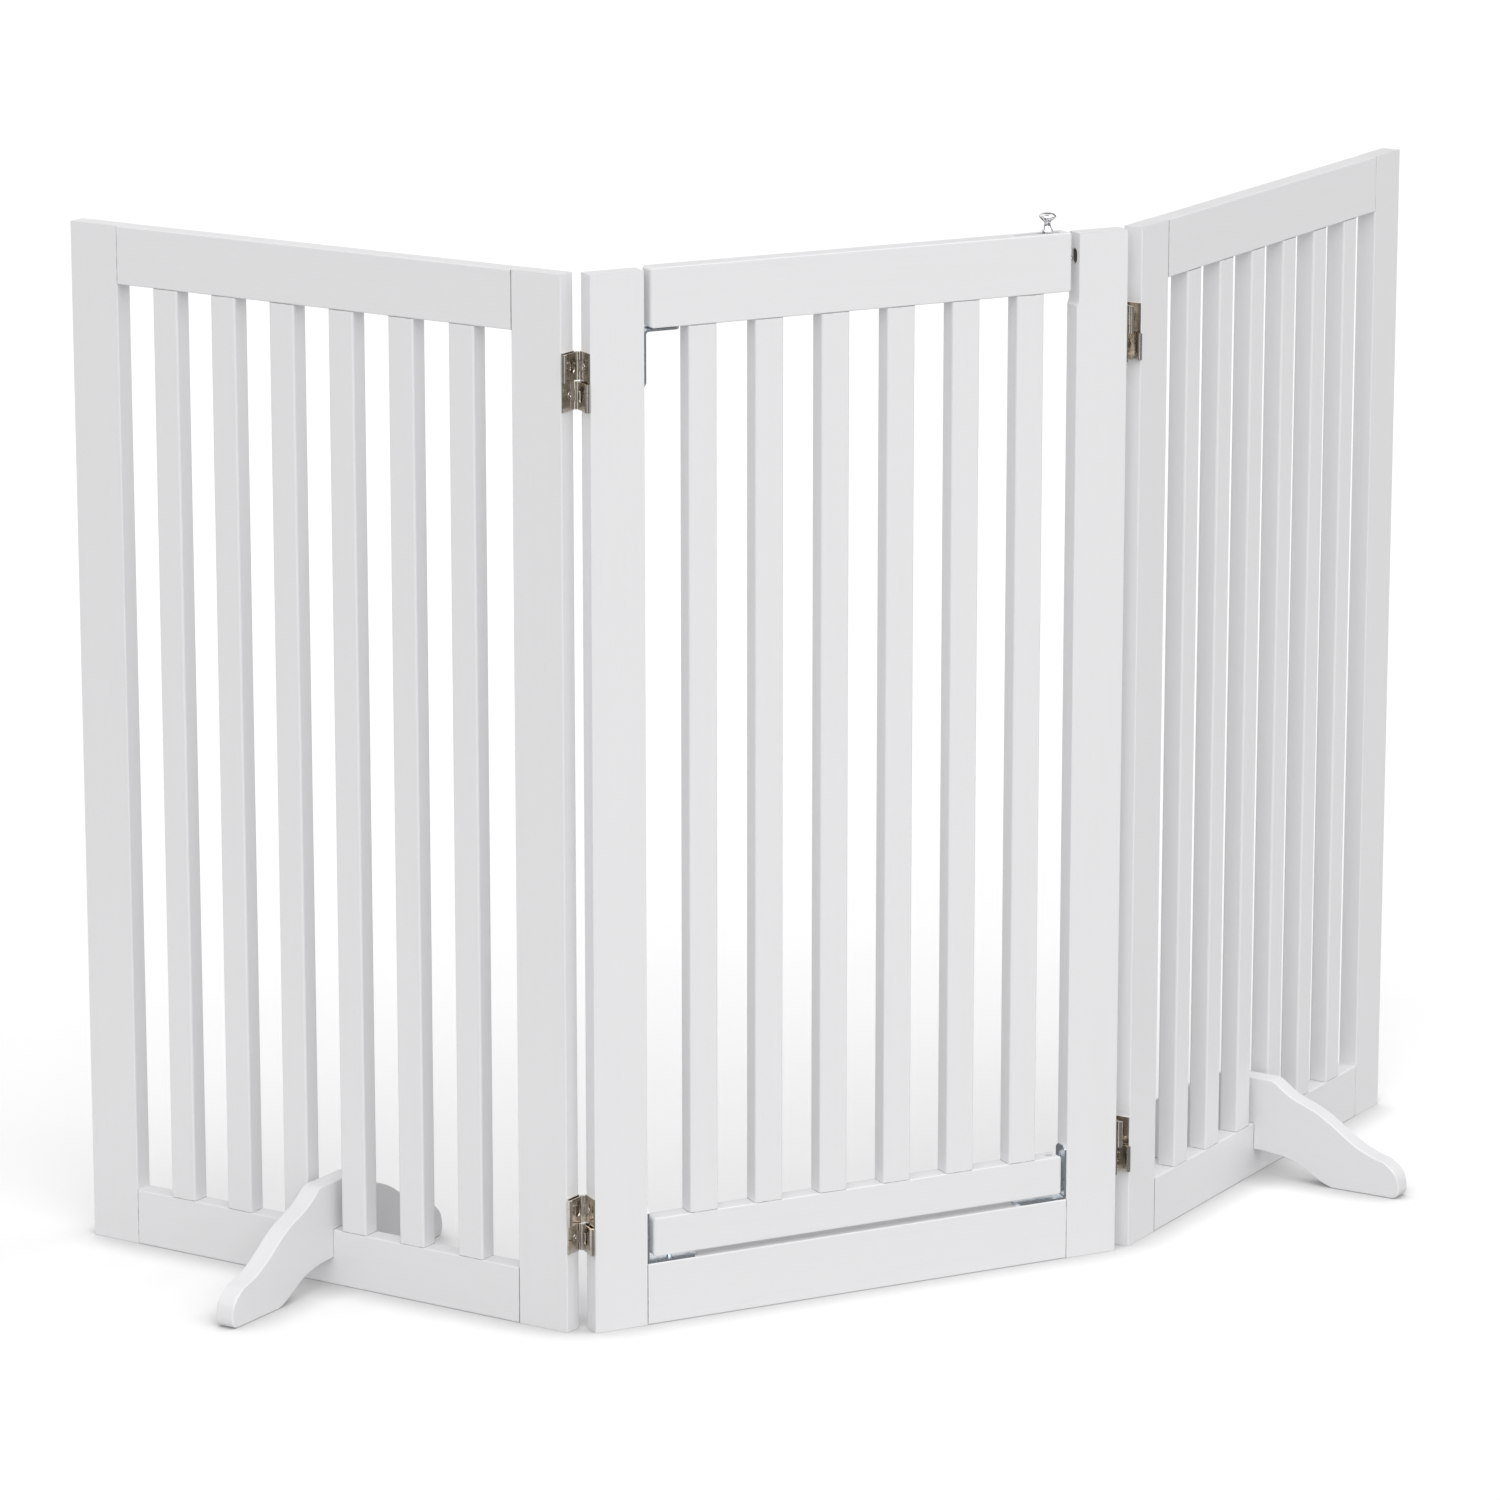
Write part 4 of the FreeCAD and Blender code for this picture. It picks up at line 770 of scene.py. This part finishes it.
# %% A screw's sizes, in metres
SCREW_SIZES = {
    "Head radius": 0.003,
    "Shank radius": 0.0015,
    "Length": 0.015,
    "Tip": 0.0025,
    "Rim": 0.00015,
    "Recess reach": 0.0019,
    "Recess width": 0.0008,
    "Recess depth": 0.0011,
}
print("a screw has", len(SCREW_SIZES), "sizes")


# %% Geometry Nodes: the turned body and the bars of the recess
POINT_RADIUS = 0.00005
SIDES = 36
BAR_TAPER = 0.4  # how wide a bar of the recess still is at its bottom


def chosen_by_index(tree, values):
    """The first value for point 0, the second for point 1, and so on."""
    switch = put(tree, "GeometryNodeIndexSwitch", data_type="FLOAT")
    while len(switch.index_switch_items) < len(values):
        switch.index_switch_items.new()
    fill(tree, switch, enumerate([put(tree, "GeometryNodeInputIndex").outputs[0], *values]))
    return switch.outputs[0]


def turned_body(tree, given):
    sink = math_node(tree, "SUBTRACT", given["Shank radius"], given["Head radius"])
    face = math_node(tree, "SUBTRACT", given["Head radius"], given["Rim"])
    end = math_node(tree, "MULTIPLY", given["Length"], -1.0)
    heights = [given["Rim"], 0.0, sink, math_node(tree, "ADD", end, given["Tip"]), end]
    radii = [face, given["Head radius"], given["Shank radius"], given["Shank radius"], POINT_RADIUS]
    line = put(tree, "GeometryNodeMeshLine", {"Count": len(heights)}).outputs[0]
    line = put(tree, "GeometryNodeMeshToCurve", {"Mesh": line}).outputs[0]
    height = put(tree, "ShaderNodeCombineXYZ", {2: chosen_by_index(tree, heights)}).outputs[0]
    line = put(tree, "GeometryNodeSetPosition", {"Geometry": line, "Position": height}).outputs[0]
    line = put(tree, "GeometryNodeSetCurveRadius", {"Curve": line, "Radius": chosen_by_index(tree, radii)}).outputs[0]
    circle = put(tree, "GeometryNodeCurvePrimitiveCircle", {"Resolution": SIDES, "Radius": 1.0}).outputs[0]
    wrap = put(tree, "GeometryNodeCurveToMesh", {"Curve": line, "Profile Curve": circle, "Fill Caps": True})
    tree.links.new(put(tree, "GeometryNodeInputRadius").outputs[0], wrap.inputs["Scale"])
    return wrap.outputs[0]


def tapered_bar(tree, given, quarter):
    reach = math_node(tree, "MULTIPLY", given["Recess reach"], 2.0)
    deep = math_node(tree, "MULTIPLY", given["Recess depth"], 2.0)
    size = put(tree, "ShaderNodeCombineXYZ", {0: reach, 1: given["Recess width"], 2: deep}).outputs[0]
    bar = put(tree, "GeometryNodeMeshCube", {"Size": size}).outputs["Mesh"]
    place = put(tree, "GeometryNodeInputPosition").outputs[0]
    height = put(tree, "ShaderNodeSeparateXYZ", {0: place}).outputs["Z"]
    share = remap(tree, math_node(tree, "DIVIDE", height, given["Recess depth"]), -1.0, 0.0, BAR_TAPER, 1.0)
    keep = put(tree, "ShaderNodeCombineXYZ", {0: share, 1: share, 2: 1.0}).outputs[0]
    place = put(tree, "ShaderNodeVectorMath", {0: place, 1: keep}, operation="MULTIPLY").outputs[0]
    bar = put(tree, "GeometryNodeSetPosition", {"Geometry": bar, "Position": place}).outputs[0]
    return put(tree, "GeometryNodeTransform", {"Geometry": bar, "Rotation": (0, 0, quarter)}).outputs[0]


print("a screw is turned with", SIDES, "sides, and its recess narrows to", BAR_TAPER)

# %% Geometry Nodes: one screw, copied to every point
def make_screw_tree():
    tree = bpy.data.node_groups.new("Countersunk screws", "GeometryNodeTree")
    tree.interface.new_socket("Geometry", in_out="INPUT", socket_type="NodeSocketGeometry")
    for label, size in SCREW_SIZES.items():
        tree.interface.new_socket(label, in_out="INPUT", socket_type="NodeSocketFloat").default_value = size
    tree.interface.new_socket("Seed", in_out="INPUT", socket_type="NodeSocketInt").default_value = 3
    tree.interface.new_socket("Steel", in_out="INPUT", socket_type="NodeSocketMaterial")
    tree.interface.new_socket("Geometry", in_out="OUTPUT", socket_type="NodeSocketGeometry")
    given = tree.nodes.new("NodeGroupInput").outputs
    result = tree.nodes.new("NodeGroupOutput").inputs
    turned = turned_body(tree, given)
    recess = put(tree, "GeometryNodeMeshBoolean", operation="DIFFERENCE", solver="EXACT")
    tree.links.new(turned, recess.inputs["Mesh 1"])
    for quarter in (0.0, math.pi / 2):
        tree.links.new(tapered_bar(tree, given, quarter), recess.inputs["Mesh 2"])
    facing = put(tree, "GeometryNodeInputNamedAttribute", {"Name": "outward"}, data_type="FLOAT_VECTOR")
    facing = {"Vector": facing.outputs["Attribute"]}
    upright = put(tree, "FunctionNodeAlignRotationToVector", facing, axis="Z").outputs[0]
    angle = put(tree, "FunctionNodeRandomValue", {"Seed": given["Seed"]}, data_type="FLOAT")
    angle.inputs[3].default_value = math.pi / 2  # the most it turns: a cross looks the same after a quarter turn
    spin = put(tree, "FunctionNodeAxisAngleToRotation", {"Axis": (0, 0, 1), "Angle": angle.outputs[1]}).outputs[0]
    rotation = put(tree, "FunctionNodeRotateRotation", {0: upright, 1: spin}, rotation_space="LOCAL").outputs[0]
    copies = put(
        tree,
        "GeometryNodeInstanceOnPoints",
        {"Points": given["Geometry"], "Instance": recess.outputs["Mesh"], "Rotation": rotation},
    )
    real = put(tree, "GeometryNodeRealizeInstances", {"Geometry": copies.outputs[0]})
    dressed = put(tree, "GeometryNodeSetMaterial", {"Geometry": real.outputs[0], "Material": given["Steel"]})
    tree.links.new(dressed.outputs[0], result["Geometry"])
    return tree


SCREW_TREE = make_screw_tree()
SOCKETS = {item.name: item.identifier for item in SCREW_TREE.interface.items_tree if item.in_out == "INPUT"}
print("screw tree has", len(SCREW_TREE.nodes), "nodes")


# %% [markdown]
# ## The new screws take over
# Each set of screws is measured, made, checked for faces that point outwards, and put on the body that carried the
# CAD screws. A screw's shank and its recess follow from the size of its head.


# %% Put the new screws in place of the CAD ones
SHANK_SHARE = 0.5
RECESS_SHARE = 0.62
SCREW_EDGE = math.radians(35)  # an edge sharper than this stays sharp


def outward_volume(mesh):
    work = bmesh.new()
    work.from_mesh(mesh)
    volume = work.calc_volume(signed=True)
    work.free()
    return volume


def make_screws(name, node, steel):
    """One mesh with all of a node's screws, which rides where the node does."""
    measured = [measure_screw(points) for points in shells(node)]
    dots = bpy.data.meshes.new(name)
    dots.from_pydata([screw[0] for screw in measured], [], [])
    outward = dots.attributes.new("outward", "FLOAT_VECTOR", "POINT")
    for number, screw in enumerate(measured):
        outward.data[number].vector = screw[1]
    maker = link(bpy.data.objects.new(name + "_maker", dots))
    modifier = maker.modifiers.new("Screws", "NODES")
    modifier.node_group = SCREW_TREE
    radius = sum(screw[2] for screw in measured) / len(measured)
    length = sum(screw[3] for screw in measured) / len(measured)
    modifier[SOCKETS["Head radius"]] = radius
    modifier[SOCKETS["Shank radius"]] = radius * SHANK_SHARE
    modifier[SOCKETS["Length"]] = length
    modifier[SOCKETS["Recess reach"]] = radius * RECESS_SHARE
    modifier[SOCKETS["Steel"]] = steel
    bpy.context.view_layer.update()
    mesh = bpy.data.meshes.new_from_object(maker.evaluated_get(bpy.context.evaluated_depsgraph_get()))
    bpy.data.objects.remove(maker)
    if outward_volume(mesh) < 0:
        mesh.flip_normals()
    mesh.shade_smooth()
    mesh.set_sharp_from_angle(angle=SCREW_EDGE)
    mesh.name = name
    piece = link(bpy.data.objects.new(name, mesh))
    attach(piece, body_of(nodes[node])[0])
    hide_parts(node)
    volume = round(outward_volume(mesh) * 1e9)
    print(name, len(measured), "screws,", len(mesh.polygons), "faces, volume", volume, "mm3")


make_screws("centre_hinge_screw_set", "centre_hinge_screws", SCREW_STEEL)
make_screws("left_hinge_screw_set", "left_wing_hinge_screws", SCREW_STEEL)
make_screws("right_hinge_screw_set", "right_wing_hinge_screws", SCREW_STEEL)
make_screws("bracket_screw_set", "bracket_screws", ZINC_SCREW)

# %% [markdown]
# ## The turned knob
# The knob is a small turned and chromed head on a stem. Chrome shows every facet, so it gets more points than a CAD
# mesh has: its outline is a few listed points, smoothed once by a spline, and turned round its axis in 96 steps.
# The outline's sizes come from the CAD knob's box.


# %% Turn the knob
KNOB_EDGE = math.radians(50)
STEM, STEM_BEVEL = 0.002, 0.0003
knob_low, knob_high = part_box("latch_knob")
knob_axis = (knob_low + knob_high) / 2
HEAD_RADIUS = (knob_high.x - knob_low.x) / 2
RAIL_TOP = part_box("door_top_rail")[1].z
KNOB_TALL = knob_high.z - RAIL_TOP
KNOB_OUTLINE = [  # share of the head's radius, share of the knob's height above the rail
    (0.0, 0.998), (0.45, 1.0), (0.70, 0.985), (0.84, 0.945), (0.97, 0.885), (0.985, 0.845), (0.90, 0.79),
    (0.66, 0.68), (0.43, 0.58), (0.355, 0.49), (0.37, 0.38), (0.47, 0.25), (0.62, 0.14), (0.64, 0.09), (0.59, 0.045),
]


def smoothed(points, steps=5):
    """Points on a Catmull-Rom curve through the given ones."""
    padded = [points[0], *points, points[-1]]
    curve = []
    for before, start, end, after in zip(padded, padded[1:], padded[2:], padded[3:]):
        for step in range(steps):
            t = step / steps
            curve.append(tuple(
                0.5 * (2 * b + (c - a) * t + (2 * a - 5 * b + 4 * c - d) * t * t + (3 * b - a - 3 * c + d) * t ** 3)
                for a, b, c, d in zip(before, start, end, after)
            ))
    return [*curve, points[-1]]


def turned_piece(name, outline, axis, turns=96):
    """A closed shape of (radius, height) points, turned about an upright axis. Its ends lie on the axis."""
    mesh = bpy.data.meshes.new(name)
    rings = outline[1:-1]
    points = [(axis.x, axis.y, outline[0][1])]
    for radius, height in rings:
        for turn in range(turns):
            angle = 2 * math.pi * turn / turns
            points.append((axis.x + radius * math.cos(angle), axis.y + radius * math.sin(angle), height))
    points.append((axis.x, axis.y, outline[-1][1]))
    faces = []
    for turn in range(turns):
        after = (turn + 1) % turns
        faces.append((0, 1 + turn, 1 + after))
        for ring in range(len(rings) - 1):
            upper, lower = 1 + ring * turns, 1 + (ring + 1) * turns
            faces.append((upper + turn, lower + turn, lower + after, upper + after))
        last = 1 + (len(rings) - 1) * turns
        faces.append((last + after, last + turn, len(points) - 1))
    mesh.from_pydata(points, [], faces)
    mesh.shade_smooth()
    mesh.set_sharp_from_angle(angle=KNOB_EDGE)
    return link(bpy.data.objects.new(name, mesh))


head_outline = [(radius * HEAD_RADIUS, RAIL_TOP + height * KNOB_TALL) for radius, height in smoothed(KNOB_OUTLINE)]
stem_outline = [
    (STEM, head_outline[-1][1]),
    (STEM, knob_low.z + STEM_BEVEL),
    (STEM - STEM_BEVEL, knob_low.z),
    (0.0, knob_low.z),
]
knob = turned_piece("turned_knob", head_outline + stem_outline, knob_axis)
knob.data.materials.append(CHROME)
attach(knob, "latch")
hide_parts("latch_knob")
print("knob has", len(knob.data.polygons), "faces, volume", round(outward_volume(knob.data) * 1e9), "mm3")
